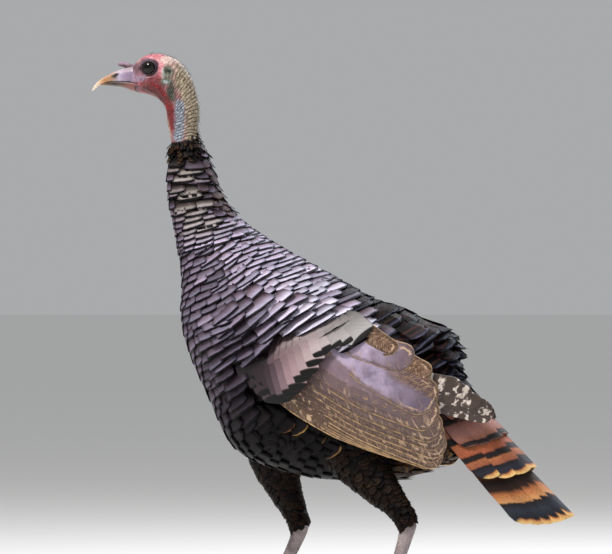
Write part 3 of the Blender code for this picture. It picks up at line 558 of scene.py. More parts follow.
def bladeQuads(rows, columns):
    top = np.arange(rows * columns).reshape(rows, columns)
    under = top.copy()
    under[1:-1, 1:-1] = rows * columns + np.arange((rows - 2) * (columns - 2)).reshape(rows - 2, columns - 2)
    quads = []
    for grid, order in ((top, 1), (under, -1)):
        corners = np.stack([grid[:-1, :-1], grid[:-1, 1:], grid[1:, 1:], grid[1:, :-1]], -1).reshape(-1, 4)
        quads.append(corners[:, ::order])
    return np.vstack(quads)


def closeBlade(top, outward, thickness):  # adds the points of the lower face
    inner = (top - outward * thickness[..., None])[1:-1, 1:-1]
    return np.vstack([top.reshape(-1, 3), inner.reshape(-1, 3)])


def spreadMark(values):
    return np.concatenate([values.ravel(), values[1:-1, 1:-1].ravel()])


bakePatch = 0.003  # side of a small feather's patch of the bake map


def setBakeMap(mesh, u, v):
    corner = np.zeros(len(mesh.loops), np.int32)
    mesh.loops.foreach_get("vertex_index", corner)
    uv = np.stack([u, v], -1)[corner]
    mesh.uv_layers.new(name="OFBake").data.foreach_set("uv", uv.astype(np.float32).ravel())


def moveTo(group, piece):
    bpy.context.scene.collection.objects.unlink(piece)
    group.objects.link(piece)


def contourBlades(kind, outline, ragged):  # four flat blades of one kind, of unit size
    group = bpy.data.collections.new(kind)
    across = np.array([-1, -0.6, 0, 0.6, 1.0])
    sideBand = {"scale": 0.15, "loose": 0.10}[kind]  # how far the dark end runs up the sides
    for seed in (1, 2, 3, 4):
        rng = np.random.default_rng(seed)
        t, half = (np.array(values)[:, None] for values in zip(*outline))
        t = t * np.ones(5)
        u = across * np.ones_like(t)
        side = u * half * (1 + ragged * rng.uniform(-1, 1, t.shape) * (np.abs(u) > 0.5))
        run = t - ragged * 0.9 * rng.uniform(0, 1, t.shape) * smooth(0.85, 1, t) - 0.03 * u**2 * smooth(0.6, 1, t)
        thick = 0.00030 * (1 - 0.4 * t) * (1 + 0.6 * (u == 0))
        top = np.stack([side, run, np.zeros_like(t)], -1)
        points = closeBlade(top, np.array([0, 0, 1.0]), thick)
        points[:, 2] = 0
        deep = np.concatenate([np.zeros(t.size), thick[1:-1, 1:-1].ravel()])
        edge = np.minimum(1 - t, (1 - np.abs(u)) * 0.35 + sideBand + 2 * np.maximum(0.82 - t, 0))
        marks = {"bladeU": spreadMark(u), "bladeV": spreadMark(t), "bladeSide": points[:, 0],
                 "bladeRun": points[:, 1], "bladeDeep": deep, "band": spreadMark(1 - edge)}
        blade = addPiece(f"{kind} {seed}", points, bladeQuads(len(outline), 5).tolist(), marks)
        moveTo(group, blade)
    return group


def featherTree(name, group, material):
    # Sets the blades of a collection on points, along each point's aim and facing outwards
    tree = bpy.data.node_groups.new(name, "GeometryNodeTree")
    tree.interface.new_socket("Geometry", in_out="INPUT", socket_type="NodeSocketGeometry")
    for socket, kind, value in (("Length", "Float", 1.0), ("Width", "Float", 1.0), ("Variation", "Float", 0.0),
                                ("Seed", "Int", 5)):
        tree.interface.new_socket(socket, in_out="INPUT", socket_type="NodeSocket" + kind).default_value = value
    tree.interface.new_socket("Geometry", in_out="OUTPUT", socket_type="NodeSocketGeometry")
    given = addNode(tree, "NodeGroupInput").outputs
    aim, face, size = (addNode(tree, "GeometryNodeInputNamedAttribute", {"data_type": "FLOAT_VECTOR", "Name": mark})
                       for mark in ("aim", "face", "size"))
    turned = addNode(tree, "FunctionNodeAxesToRotation", {"primary_axis": "Y", "secondary_axis": "Z"},
                     {0: aim, 1: face})
    low = addNode(tree, "ShaderNodeMath", {"operation": "SUBTRACT", 0: 1.0}, {1: given["Variation"]})
    high = addNode(tree, "ShaderNodeMath", {**plus, 0: 1.0}, {1: given["Variation"]})
    vary = addNode(tree, "FunctionNodeRandomValue", {"data_type": "FLOAT"}, {2: low, 3: high, "Seed": given["Seed"]})
    factor = addNode(tree, "ShaderNodeCombineXYZ", {2: 1.0}, {0: given["Width"], 1: given["Length"]})
    scaled = addNode(tree, "ShaderNodeVectorMath", times, {0: size, 1: factor})
    varied = addNode(tree, "ShaderNodeVectorMath", {"operation": "SCALE"}, {0: scaled, "Scale": vary.outputs[1]})
    blades = addNode(tree, "GeometryNodeCollectionInfo", {0: group, 1: True, 2: True})
    pick = addNode(tree, "FunctionNodeRandomValue", {"data_type": "INT", 4: 0, 5: len(group.objects) - 1},
                   {"Seed": given["Seed"]})
    placed = addNode(tree, "GeometryNodeInstanceOnPoints", {"Pick Instance": True}, {
        "Points": given["Geometry"], "Instance": blades, "Instance Index": pick.outputs[2], "Rotation": turned,
        "Scale": varied})
    real = addNode(tree, "GeometryNodeRealizeInstances", {}, {0: placed})
    finished = addNode(tree, "GeometryNodeSetMaterial", {"Material": material}, {0: real})
    addNode(tree, "NodeGroupOutput", {}, {0: finished})
    return tree


def bendBlades(mesh, pointAt, last):  # lays every blade along the surface that it grows from
    names = ("place", "angle", "turn", "depth", "rise", "cant", "bladeRun", "bladeSide", "bladeDeep")
    place, angle, turn, depth, rise, cant, t, u, deep = (readMark(mesh, name).astype(float) for name in names)
    size = readMark(mesh, "size", 3).astype(float)
    run, side = t * size[:, 1], u * size[:, 0]
    c, s = np.cos(turn), np.sin(turn)
    pace, gap = size[:, 1], size[:, 1]
    midPlace, midAngle = place, angle
    for _ in range(2):
        _, along, around, _ = frameAt(pointAt, np.minimum(midPlace, last), midAngle)
        pace, gap = np.linalg.norm(along, axis=1), np.linalg.norm(around, axis=1)
        midPlace, midAngle = place + 0.5 * c * size[:, 1] / pace, angle + 0.5 * s * size[:, 1] / gap
    place, angle = place + (c * run + s * side) / pace, angle + (s * run - c * side) / gap
    here, along, _, out = frameAt(pointAt, np.minimum(place, last), angle)
    over = np.maximum(place - last, 0) * pace
    height = rise * t**2 - depth * np.clip(1 - t, 0, 1)**2.4 + cant * side - deep
    points = here + out * height[:, None] + unit(along) * over[:, None]
    mesh.vertices.foreach_set("co", points.astype(np.float32).ravel())
    mesh.update()


barbSlant = 0.4  # how far a barb runs along the feather for its length across


def growFeathers(name, laid, marks, group, material, settings, pointAt=None, last=None):
    # laid holds each feather's root, its aim, the way it faces, and its size
    count = len(laid["root"])
    mesh = bpy.data.meshes.new(name)
    mesh.vertices.add(count)
    mesh.vertices.foreach_set("co", laid["root"].astype(np.float32).ravel())
    for mark in ("aim", "face", "size"):
        setMark(mesh, mark, laid[mark], 3)
    for mark, values in marks.items():
        setMark(mesh, mark, values + np.zeros(count))
    coat = bpy.data.objects.new(name, mesh)
    bpy.context.scene.collection.objects.link(coat)
    growth = coat.modifiers.new("growth", "NODES")
    growth.node_group = featherTree(name + "Growth", group, material)
    for socket in growth.node_group.interface.items_tree:
        if socket.in_out == "INPUT" and socket.name in settings:
            growth[socket.identifier] = settings[socket.name]
    plainMesh(coat)
    made = coat.data
    if pointAt:
        bendBlades(made, pointAt, last)
    u, v, size = readMark(made, "bladeU"), readMark(made, "bladeV"), readMark(made, "size", 3)
    setMark(made, "barb", (v * size[:, 1] - np.abs(u) * size[:, 0] * barbSlant) * 1000)
    setBakeMap(made, readMark(made, "rootU") + u * 0.5 * bakePatch, readMark(made, "rootV") + (v - 0.5) * bakePatch)
    made.shade_smooth()
    print(f"{name}: {count} feathers, {len(made.polygons) * 2} triangles")
    return coat


def clearGroups(groups):
    for group in groups:
        for blade in list(group.objects):
            bpy.data.objects.remove(blade)
        bpy.data.collections.remove(group)


def coatRows(start, end, low, high, rowStep, acrossStep, turn, seed):
    # Staggered rows, square to the way the feathers lie, between two angles from the nape
    rng = np.random.default_rng(seed)
    places, angles = [], []
    fan = np.linspace(low, high, 60)
    step = fan[1] - fan[0]
    place, order = start, 0
    while True:
        _, along, around, _ = frameAt(coatPoint, np.full(60, min(place, body["lastPlace"])), fan)
        pace, gap = np.linalg.norm(along, axis=1), np.linalg.norm(around, axis=1)
        slant = np.concatenate([[0], np.cumsum((np.tan(turn(fan)) * gap)[1:] * step)]) / pace
        many = np.concatenate([[0], np.cumsum((gap / acrossStep(place, fan))[1:] * step)])
        if (place - slant).min() > end:
            break
        for sign in (-1, 1):
            at = np.arange(0.5 * (order % 2) + (order % 2 == 0 and sign > 0 and low == 0), many[-1], 1.0)
            at = at + rng.normal(0, 0.08, len(at))
            own = np.interp(at, many, place - slant) + rng.normal(0, 0.08, len(at)) * rowStep(place) / pace[0]
            keep = (own > start - 0.05) & (own < end)
            angles.append(np.interp(at, many, fan)[keep] * sign)
            places.append(own[keep])
        place += rowStep(place) / pace[0]
        order += 1
    return np.concatenate(places), np.concatenate(angles)


def barbSteps(fineness, roughness, contrast, tones):
    # barbs as fine streaks at an angle to the shaft, drawn 0.7 mm apart so that they show, and a
    # tone of its own for each feather
    return [
        ("streakPlace", "CombineXYZ", {}, {0: "barb", 1: "bladeU", 2: "tone"}),
        ("streaks", "TexNoise", {"Scale": fineness, "Detail": 4.0, "Roughness": roughness},
         {"Vector": "streakPlace"}),
        ("bright", "MapRange", {1: 0.25, 2: 0.75, 3: contrast[0], 4: contrast[1]}, {0: "streaks"}),
        ("shade", "MapRange", {3: tones[0], 4: tones[1]}, {0: "tone"}),
        ("value", "Math", times, {0: "bright", 1: "shade"}),
    ]


def contourMaterial():
    # Contour feathers of keratin: satin, with fine barbs at an angle to the shaft, a bronze to
    # blue-grey sheen painted into the colour before the tip, and a velvet black edge.
    dark = ((0.0, "#020101"), (0.60, "#040303"), (0.78, "#0a0708"), (0.88, "#0f0b0e"), (0.92, "#060405"),
            (0.95, "#020202"), (1.0, "#020202"))
    looks = {
        "plum": ((0.0, "#0f0b0d"), (0.55, "#251c21"), (0.70, "#483b45"), (0.82, "#665a6b"), (0.89, "#74697e"),
                 (0.92, "#241c24"), (0.945, "#070506"), (1.0, "#050304")),
        # bronze: the pale lavender-grey stop just before the black edge is a painted sheen
        "bronze": ((0.0, "#1c1416"), (0.55, "#49393f"), (0.68, "#7c6b7a"), (0.78, "#9d90a6"), (0.875, "#b3aec8"),
                   (0.905, "#4c414e"), (0.93, "#09070a"), (1.0, "#060507")),
        # lavender: a painted sheen, pale lavender to near white before the black edge
        "lavender": ((0.0, "#221c20"), (0.55, "#5d525d"), (0.68, "#a095a4"), (0.78, "#cbc3d7"), (0.87, "#e0dcee"),
                     (0.90, "#585364"), (0.92, "#07060a"), (1.0, "#050407")),
        "olive": ((0.0, "#15100e"), (0.58, "#2f2725"), (0.71, "#5f5652"), (0.80, "#a39a96"), (0.865, "#8d8685"),
                  (0.89, "#2a2321"), (0.91, "#060404"), (1.0, "#050303")),
        # rump: black with rust bars, and the blue-grey stop before the black end is a painted sheen
        "rump": ((0.0, "#050304"), (0.56, "#080506"), (0.60, "#42221a"), (0.65, "#080506"), (0.73, "#080506"),
                 (0.765, "#3a1f1a"), (0.80, "#070507"), (0.87, "#14131d"), (0.925, "#494a60"), (0.95, "#08070b"),
                 (1.0, "#040305")),
        "rust": ((0.0, "#050304"), (0.60, "#0c0808"), (0.86, "#120c10"), (0.895, "#38220f"), (0.93, "#9a7448"),
                 (0.955, "#3a2213"), (1.0, "#0c0806")),
        "brown": ((0.0, "#0d0807"), (0.45, "#1f1510"), (0.62, "#0f0a08"), (0.74, "#3f2a1a"), (0.85, "#150e0b"),
                  (0.95, "#58391f"), (1.0, "#352214")),
    }
    steps = [
        # the dark end is uneven, from feather to feather and along its edge
        ("edge", "Math", {**timesPlus, 1: 0.07, 2: -0.060}, {0: "tone"}),
        ("edgePlace", "CombineXYZ", {}, {0: "bladeU", 1: "tone"}),
        ("edgePlace", "VectorMath", {**times, 1: (1.6, 37.0, 0.0)}, {0: "edgePlace"}),
        ("uneven", "TexNoise", {"Scale": 1.0, "Detail": 3.0}, {"Vector": "edgePlace"}),
        ("edge", "Math", {**timesPlus, 1: 0.07}, {0: "uneven", 2: "edge"}),
        ("band", "Math", plus, {0: "band", 1: "edge"}),
        ("colour", "ValToRGB", {"stops": dark}, {0: "band"}),
    ]
    for name, stops in looks.items():
        steps += [("own", "ValToRGB", {"stops": stops}, {0: "band"}),
                  ("colour", "Mix", {}, {0: name, 6: "colour", 7: "own"})]
    steps += barbSteps(1.4, 0.7, (0.62, 1.4), (0.72, 1.30))
    steps += [("hue", "MapRange", {3: 0.465, 4: 0.53}, {0: "tone"}),
              ("colour", "HueSaturation", {}, {"Hue": "hue", "Value": "value", "Color": "colour"})]
    settings = {"Roughness": 0.48, "IOR": 1.5, "Specular IOR Level": 0.08}
    marks = ["band", "tone", "bladeU", "barb", *looks]
    return makeMaterial("bronze turkey contour feather", settings, marks, steps, ("streaks", 0.5, 0.0006))


# Outlines of the two kinds of contour feather: how far along, and half the width there
blades = {
    "scale": {"ragged": 0.03, "outline": ((0.0, 0.14), (0.22, 0.30), (0.45, 0.45), (0.66, 0.50), (0.86, 0.50),
                                          (0.94, 0.475), (0.985, 0.42), (1.0, 0.34))},
    "loose": {"ragged": 0.10, "outline": ((0.0, 0.12), (0.22, 0.28), (0.45, 0.42), (0.65, 0.46), (0.82, 0.42),
                                          (0.92, 0.32), (0.97, 0.20), (1.0, 0.08))},
}
# Each zone of the coat, by place along the body: rows and columns apart, length, width, how deep
# the root sits, how far the tip stands off, and the lie away from the midline
zones = {
    "coatNeck": {"blade": "scale", "from": 9.15, "to": 13.3, "low": 0.0, "high": math.pi, "lie": 0.05, "seed": 21,
                 "at": (9.0, 10.0, 12.0, 13.3), "row": (0.0060, 0.0088, 0.0088, 0.0066),
                 "column": (0.0130, 0.0215, 0.0250, 0.0190),
                 "length": (0.020, 0.030, 0.030, 0.026), "width": (0.0185, 0.0310, 0.0360, 0.0285), "depth": 0.0050,
                 "rise": 0.0012},
    "coatNape": {"blade": "loose", "from": 9.2, "to": 12.6, "low": 0.0, "high": 0.80, "lie": 0.10, "seed": 28,
                 "at": (9.2, 12.6), "row": (0.0080, 0.0090), "column": (0.0130, 0.0150),
                 "length": (0.024, 0.030), "width": (0.0130, 0.0170), "depth": 0.0045, "rise": 0.0042, "loose": 0.22},
    "coatMantle": {"blade": "scale", "from": 13.3, "to": 17.9, "low": 0.0, "high": 1.95, "lie": 0.10, "seed": 22,
                   "at": (13.1, 14.2, 15.2, 16.2, 17.9), "row": (0.0060, 0.0072, 0.0100, 0.0140, 0.0165),
                   "column": (0.0185, 0.0250, 0.0320, 0.0370, 0.0380),
                   "length": (0.025, 0.028, 0.036, 0.048, 0.055), "width": (0.0275, 0.0370, 0.0480, 0.0560, 0.0580),
                   "depth": 0.0070, "rise": 0.0008},
    "coatBreast": {"blade": "scale", "from": 13.1, "to": 19.6, "low": 1.80, "high": math.pi, "lie": 0.0, "seed": 23,
                   "at": (13.1, 15.0, 19.0), "row": (0.0068, 0.0100, 0.0125), "column": (0.0165, 0.0230, 0.0260),
                   "length": (0.026, 0.036, 0.044), "width": (0.0250, 0.0350, 0.0400), "depth": 0.0070,
                   "rise": 0.0004},
    "coatFlank": {"blade": "loose", "from": 16.8, "to": 19.5, "low": 1.25, "high": 2.3, "lie": 0.15, "seed": 24,
                  "at": (16.8, 19.5), "row": (0.0120, 0.0120), "column": (0.0170, 0.0170),
                  "length": (0.050, 0.052), "width": (0.0300, 0.0300), "depth": 0.0065, "rise": 0.0015},
    "coatRump": {"blade": "loose", "from": 16.9, "to": 20.7, "low": 0.0, "high": 1.35, "lie": 0.18, "seed": 25,
                 "at": (17.0, 20.5), "row": (0.0120, 0.0120), "column": (0.0180, 0.0180),
                 "length": (0.058, 0.070), "width": (0.0380, 0.0380), "depth": 0.0065, "rise": 0.0075, "loose": 0.20},
    "coatVent": {"blade": "loose", "from": 19.0, "to": 21.9, "low": 1.9, "high": math.pi, "lie": 0.0, "seed": 26,
                 "at": (19.0, 21.9), "row": (0.0095, 0.0095), "column": (0.0130, 0.0130),
                 "length": (0.056, 0.058), "width": (0.0230, 0.0240), "depth": 0.0055, "rise": 0.0050, "loose": 0.12},
    "coatCollar": {"blade": "loose", "from": 8.75, "to": 10.3, "low": 0.0, "high": 2.75, "lie": 0.0, "seed": 27,
                   "at": (8.7, 9.6, 10.3), "row": (0.0032, 0.0040, 0.0056), "column": (0.0036, 0.0052, 0.0085),
                   "length": (0.013, 0.017, 0.019), "width": (0.0034, 0.0052, 0.0080), "depth": 0.0012,
                   "rise": 0.0034, "loose": 0.30},
}
throat = {"angle": 2.62, "place": 10.6}
lookNames = ("bronze", "lavender", "olive", "plum", "rump", "rust", "brown")
# where the wing's flight feathers and great coverts cover the side, x and z
underWing = ((-0.1156, 0.3300), (-0.1181, 0.3638), (-0.0876, 0.3870), (-0.0521, 0.3950), (-0.0150, 0.3955),
             (0.0230, 0.3925), (0.0560, 0.3810), (0.0876, 0.3725), (0.1346, 0.3200), (0.1500, 0.2450),
             (0.1350, 0.2300), (0.0650, 0.2420), (0.0050, 0.2540), (-0.0480, 0.2820), (-0.0800, 0.2980))


def insideOutline(x, z, outline):
    inside = np.zeros(x.shape, bool)
    for (ax, az), (bx, bz) in zip(outline, outline[1:] + outline[:1]):
        crosses = (az > z) != (bz > z)
        inside ^= crosses & (x < (bx - ax) * (z - az) / (bz - az + 1e-12) + ax)
    return inside


def zoneWeights(name, place, angle, point, rng):  # how much of each look a feather has
    p, a = place, np.abs(angle)
    # behind a slanting line across the back
    rear = smooth(-0.008, 0.010, point[:, 0] - 0.803 * (0.451 - point[:, 2]) + 0.010)
    random = rng.random(len(p))
    weights = {
        "coatNeck": lambda: {
            "olive": smooth(10.0, 10.7, p) * (1 - smooth(12.6, 13.3, p)) * smooth(0.75, 1.25, a)
            * (1 - smooth(2.1, 2.5, a)) * (0.6 + 0.4 * random),
            "bronze": 0.9 * smooth(11.6, 13.0, p) * (1 - smooth(1.9, 2.7, a)),
            "plum": smooth(9.7, 10.5, p) * (0.6 + 0.4 * random)
            * (1 - smooth(0.9, 1.4, a) * (1 - smooth(2.0, 2.4, a)))
            * (1 - 0.8 * smooth(12.0, 13.2, p) * (1 - smooth(1.9, 2.7, a))),
            "brown": 0.5 * (1 - smooth(9.6, 10.3, p)) * random},
        "coatNape": lambda: {"plum": 0.5 + 0.5 * random, "brown": 0.8 * (random > 0.5) * random},
        "coatMantle": lambda: {
            "plum": 1 - rear,
            "bronze": (1 - 0.75 * smooth(1.20, 1.90, a + 0.1 * (p - 15.5))) * (1 - rear) * (0.75 + 0.25 * random),
            # lavender: a painted sheen of light from above, over the upper sides of the mantle and at half strength
            # along the ridge
            "lavender": smooth(13.8, 15.4, p) * (1 - rear) * (0.5 + 0.5 * smooth(0.15, 0.60, a))
            * (1 - smooth(1.15, 1.60, a)) * smooth(0.10, 0.60, random),
            "rump": rear * (0.4 + 0.6 * random)},
        "coatBreast": lambda: {
            "bronze": 0.45 * (1 - smooth(14.6, 16.0, p)) * (1 - 0.7 * smooth(2.1, 2.7, a)) * (0.3 + 0.7 * random),
            "plum": (1 - smooth(15.0, 16.7, p)) * (0.45 + 0.55 * random),
            "rust": (random < 0.16) * 0.8 * smooth(17.2, 18.0, p) * (1 - smooth(2.4, 2.8, a))},
        "coatFlank": lambda: {"rust": (random < 0.25) * 0.9, "brown": 0.25 * smooth(18.6, 19.4, p)},
        "coatRump": lambda: {"rump": 0.5 + 0.5 * random, "plum": 0.6 * (random > 0.6)},
        "coatVent": lambda: {"brown": 0.6 + 0.4 * random},
        "coatCollar": lambda: {"brown": 0.9 * (random > 0.55) * random},
    }
    return weights[name]()


def growZone(name, zone, group, feather):
    rng = np.random.default_rng(zone["seed"])
    onNeck, onMantle = name == "coatNeck", name == "coatMantle"

    def lie(angle):
        return (zone["lie"] - 0.30 * smooth(0.95, 1.45, angle) * onMantle) * smooth(0.10, 0.9, angle)

    def sized(key, place):
        return np.interp(place, zone["at"], zone[key])

    def narrowed(angle):  # smaller feathers down the front of the neck
        return 1 - 0.35 * smooth(1.9, 2.4, angle) * onNeck

    place, angle = coatRows(zone["from"], zone["to"], zone["low"], zone["high"], lambda p: float(sized("row", p)),
                            lambda p, a: sized("column", p) * narrowed(a), lie, zone["seed"])
    if name == "coatCollar":  # it starts higher at the nape
        place = place - 0.5 * (1 - smooth(0.3, 1.3, np.abs(angle))) * (1 - smooth(9.4, 10.2, place))
    point = coatPoint(place, angle)
    keep = ~(insideOutline(point[:, 0], point[:, 2], underWing) & (np.abs(point[:, 1]) > 0.045))
    if name == "coatFlank":
        keep &= point[:, 2] < 0.300
    if name in ("coatNeck", "coatCollar"):  # the throat's front stays bare above a place
        keep &= (np.abs(angle) < throat["angle"]) | (place > throat["place"])
    place, angle, point = place[keep], angle[keep], point[keep]
    count = len(place)
    turn = np.sign(angle) * lie(np.abs(angle)) + rng.normal(0, zone.get("loose", 0.04), count)
    _, along, around, out = frameAt(coatPoint, place, angle)
    aim = unit(unit(along) * np.cos(turn)[:, None] + unit(around) * np.sin(turn)[:, None])
    narrow = narrowed(np.abs(angle))
    size = np.stack([sized("width", place) * narrow, sized("length", place) * (0.4 + 0.6 * narrow), 0 * place], -1)
    size *= rng.uniform(0.92, 1.08, (count, 1))
    tone = np.clip(rng.normal(0.5, 0.25, count), 0, 1)
    # tips stand off a little more on the arm, and some stand up where the back turns to the rump
    arm = armShare(point[:, 0], point[:, 2]) * (np.abs(point[:, 1]) > 0.05)
    ridge = smooth(16.7, 17.0, place) * (1 - smooth(17.9, 18.3, place)) * (1 - smooth(0.4, 0.8, np.abs(angle)))
    rise = zone["rise"] * rng.uniform(*((0.8, 1.2) if onNeck else (0.4, 1.6)), count) + 0.0100 * arm
    rise += 0.018 * ridge * (rng.random(count) > 0.4)
    marks = {look: np.zeros(count) for look in lookNames}
    marks.update({"tone": tone, "rootU": (angle / (2 * math.pi) + 0.5) % 1.0, "rootV": place / 22.0, "place": place,
                  "angle": angle, "turn": turn, "depth": zone["depth"], "cant": 0.05 * np.sign(angle), "rise": rise})
    marks.update(zoneWeights(name, place, angle, point, rng))
    laid = {"root": point - out * zone["depth"], "aim": aim, "face": out, "size": size}
    return growFeathers(name, laid, marks, group, feather, {"Seed": zone["seed"]}, coatPoint, 21.9)


thighCoat = {"from": 0.25, "to": 3.60, "row": 0.13, "column": 0.0100, "length": (0.034, 0.018), "aspect": 0.62,
             "rise": (0.0010, 0.0030), "seed": 31, "rootU": {"left": 0.2, "right": 0.7}}


def growThigh(side, group, feather):  # small dark feathers down to the hock
    rng = np.random.default_rng(thighCoat["seed"])
    place, angle = [], []
    for order, p in enumerate(np.arange(thighCoat["from"], thighCoat["to"], thighCoat["row"])):
        girth = float(splineAt(legs[side], np.array(p))[3:5].mean()) * 2 * math.pi
        count = max(8, int(girth / thighCoat["column"]))
        angle.append((np.arange(count) + 0.5 * (order % 2) + rng.normal(0, 0.1, count)) / count * 2 * math.pi)
        place.append(p + rng.normal(0, 0.03, count))
    place, angle = np.concatenate(place), np.concatenate(angle)
    count = len(place)

    def thighPoint(p, a):
        return legPoint(legs[side], p, -a)[0]

    here, along, _, out = frameAt(thighPoint, place, angle)
    length = np.interp(place, [0, thighCoat["to"]], thighCoat["length"])
    size = np.stack([length * thighCoat["aspect"], length, 0 * length], -1)
    marks = {look: np.zeros(count) for look in lookNames}
    marks.update({"brown": 0.35 * rng.random(count), "tone": rng.random(count), "place": place, "angle": angle,
                  "rootU": (angle / (2 * math.pi)) % 1.0 * 0.1 + thighCoat["rootU"][side],
                  "rootV": 0.80 + place * 0.02, "turn": rng.normal(0, 0.10, count), "depth": legs["skinDepth"],
                  "cant": 0.0, "rise": rng.uniform(*thighCoat["rise"], count)})
    laid = {"root": here - out * legs["skinDepth"], "aim": unit(along), "face": out, "size": size}
    return growFeathers("coatThigh" + side.title(), laid, marks, group, feather, {"Seed": thighCoat["seed"]},
                        thighPoint, 4.2)


def growCoat():
    feather = contourMaterial()
    groups = {kind: contourBlades(kind, shape["outline"], shape["ragged"]) for kind, shape in blades.items()}
    pieces = [growZone(name, zone, groups[zone["blade"]], feather) for name, zone in zones.items()]
    pieces += [growThigh(side, groups["loose"], feather) for side in ("left", "right")]
    clearGroups(groups.values())
    return pieces


# Long feathers of the wing and tail, each made along its own line

def newStore():
    return {"points": [], "faces": [], "count": 0, "marks": {}, "patches": []}


def bladeShape(longRows, length, width, roundness):
    # rows from root to tip: how far along, and half the width there
    tipStart = 1 - min(0.45, roundness * width / 2 / length)
    tipRows = np.sin(np.radians([22, 42, 58, 71, 81, 88]))
    t = np.concatenate([np.linspace(0, tipStart, longRows), tipStart + (1 - tipStart) * tipRows])
    half = np.interp(t, [0, 0.12, 0.5, tipStart], [0.22, 0.55, 0.95, 1.0]) * width / 2
    tip = np.clip((t - tipStart) / (1 - tipStart), 0, 1)
    return t, half * np.sqrt(np.maximum(1 - tip**2, 0.0016))


longBlade = {"rows": 14, "columns": 11, "thickness": 0.0006, "shaft": 0.0006, "barbSlant": 0.9}


def addBlade(store, spot, length, width, roundness, marks, wave=0.0):
    # spot(t, reach) gives points and outward directions; reach is metres from the shaft
    t, half = bladeShape(longBlade["rows"], length, width, roundness)
    u = np.sin(np.linspace(-1, 1, longBlade["columns"]) * math.pi / 2)
    t, u = np.meshgrid(t, u, indexing="ij")
    reach = u * half[:, None]
    rng = np.random.default_rng(int(store["count"]) + 7)
    ragged = 1 + wave * rng.uniform(-1, 0.3, reach.shape) * (np.abs(u) > 0.99)
    points, outward = spot(t, reach * ragged)
    raised = longBlade["shaft"] * np.exp(-(u / 0.07)**2) * (1 - 0.7 * t) - 0.00018 * np.abs(u)**3
    points = points + outward * raised[..., None]
    thick = longBlade["thickness"] * (1 - 0.5 * t)
    rows, cols = t.shape
    quads = bladeQuads(rows, cols)
    i, k = rows // 2, cols // 2
    if np.cross(points[i, k + 1] - points[i, k], points[i + 1, k] - points[i, k]) @ outward[i, k] < 0:
        quads = quads[:, ::-1]
    solid = closeBlade(points, outward, thick)
    edge = np.minimum(half[:, None] - np.abs(reach), (1.004 - t) * length)
    barb = t * length - np.abs(reach) * longBlade["barbSlant"]
    own = {"bladeU": u, "bladeV": t, "barb": barb * 1000, "runMm": t * length * 1000, "reachMm": reach * 1000,
           "edgeMm": edge * 1000}
    own = {name: spreadMark(value) for name, value in own.items()}
    for name, value in marks.items():
        own[name] = np.full(len(solid), value)
    own["tone"] = np.full(len(solid), rng.uniform(0, 1))
    for name, value in own.items():
        store["marks"].setdefault(name, []).append(value)
    base = sum(len(p) for p in store["points"])
    store["points"].append(solid)
    store["faces"].append(quads + base)
    store["patches"].append((len(solid), own["bladeU"], own["bladeV"]))
    store["count"] += 1


def finishStore(store, name, material):
    points = np.vstack(store["points"])
    marks = {mark: np.concatenate(values) for mark, values in store["marks"].items()}
    piece = addPiece(name, points, np.vstack(store["faces"]).tolist(), marks, material)
    # each long feather has its own strip of the bake map, as it carries a pattern of its own
    across = math.ceil(math.sqrt(store["count"] * 3))
    down = math.ceil(store["count"] / across)
    u = np.concatenate([(i % across + 0.5 + 0.46 * bu) / across for i, (_, bu, _) in enumerate(store["patches"])])
    v = np.concatenate([(i // across + 0.04 + 0.92 * bv) / down for i, (_, _, bv) in enumerate(store["patches"])])
    setBakeMap(piece.data, u, v)
    print(f"{name}: {store['count']} feathers, {len(piece.data.polygons) * 2} triangles")
    return piece


# The secondaries, from the lowest and outermost to the innermost: root and tip, x and z, then the
# width and how far in the feather is, from 0 to 1
secondaries = (
    (-0.0546, 0.2991, 0.1005, 0.2355, 0.025, 0.00),
    (-0.0535, 0.3027, 0.1185, 0.2303, 0.027, 0.07),
    (-0.0523, 0.3063, 0.1315, 0.2264, 0.028, 0.15),
    (-0.0504, 0.3106, 0.1420, 0.2243, 0.029, 0.22),
    (-0.0487, 0.3148, 0.1499, 0.2247, 0.030, 0.29),
    (-0.0466, 0.3196, 0.1500, 0.2315, 0.032, 0.36),
    (-0.0436, 0.3249, 0.1528, 0.2387, 0.034, 0.44),
    (-0.0400, 0.3308, 0.1519, 0.2477, 0.037, 0.51),
    (-0.0360, 0.3379, 0.1483, 0.2606, 0.039, 0.58),
    (-0.0298, 0.3475, 0.1449, 0.2758, 0.043, 0.65),
    (-0.0215, 0.3597, 0.1428, 0.2923, 0.047, 0.73),
    (0.0383, 0.3900, 0.1335, 0.3237, 0.030, 1.0),
    (-0.0048, 0.3813, 0.1411, 0.2925, 0.047, 0.82),
    (-0.0112, 0.3925, 0.1132, 0.3438, 0.036, 0.91),
    (0.0320, 0.4050, 0.0904, 0.3550, 0.022, 1.0),
)
wingTiers = {
    "primary": {"count": 7, "width": (0.018, 0.025), "level": -0.0050, "step": 0.0007, "sink": 0.0, "round": 1.3,
                "arch": 0.25, "roots": ((0.010, 0.335), (0.024, 0.352)),
                "tips": ((0.2101, 0.2762), (0.2127, 0.2825), (0.2063, 0.2900), (0.1911, 0.3000), (0.1721, 0.3137))},
    "secondary": {"count": 15, "level": 0.0004, "step": 0.00042, "sink": 0.0090, "round": 0.85, "arch": 0.03},
    "greatCovert": {"count": 15, "width": (0.034, 0.036), "level": 0.0072, "step": 0.00016, "sink": 0.0130,
                    "round": 0.45, "arch": 0.05,
                    "roots": ((-0.0930, 0.3640), (-0.0640, 0.3760), (-0.0380, 0.3900), (-0.0100, 0.4010),
                              (0.0190, 0.4080)),
                    "tips": ((-0.0760, 0.3225), (-0.0450, 0.2955), (-0.0200, 0.3180), (0.0090, 0.3540),
                             (0.0530, 0.3710))},
}


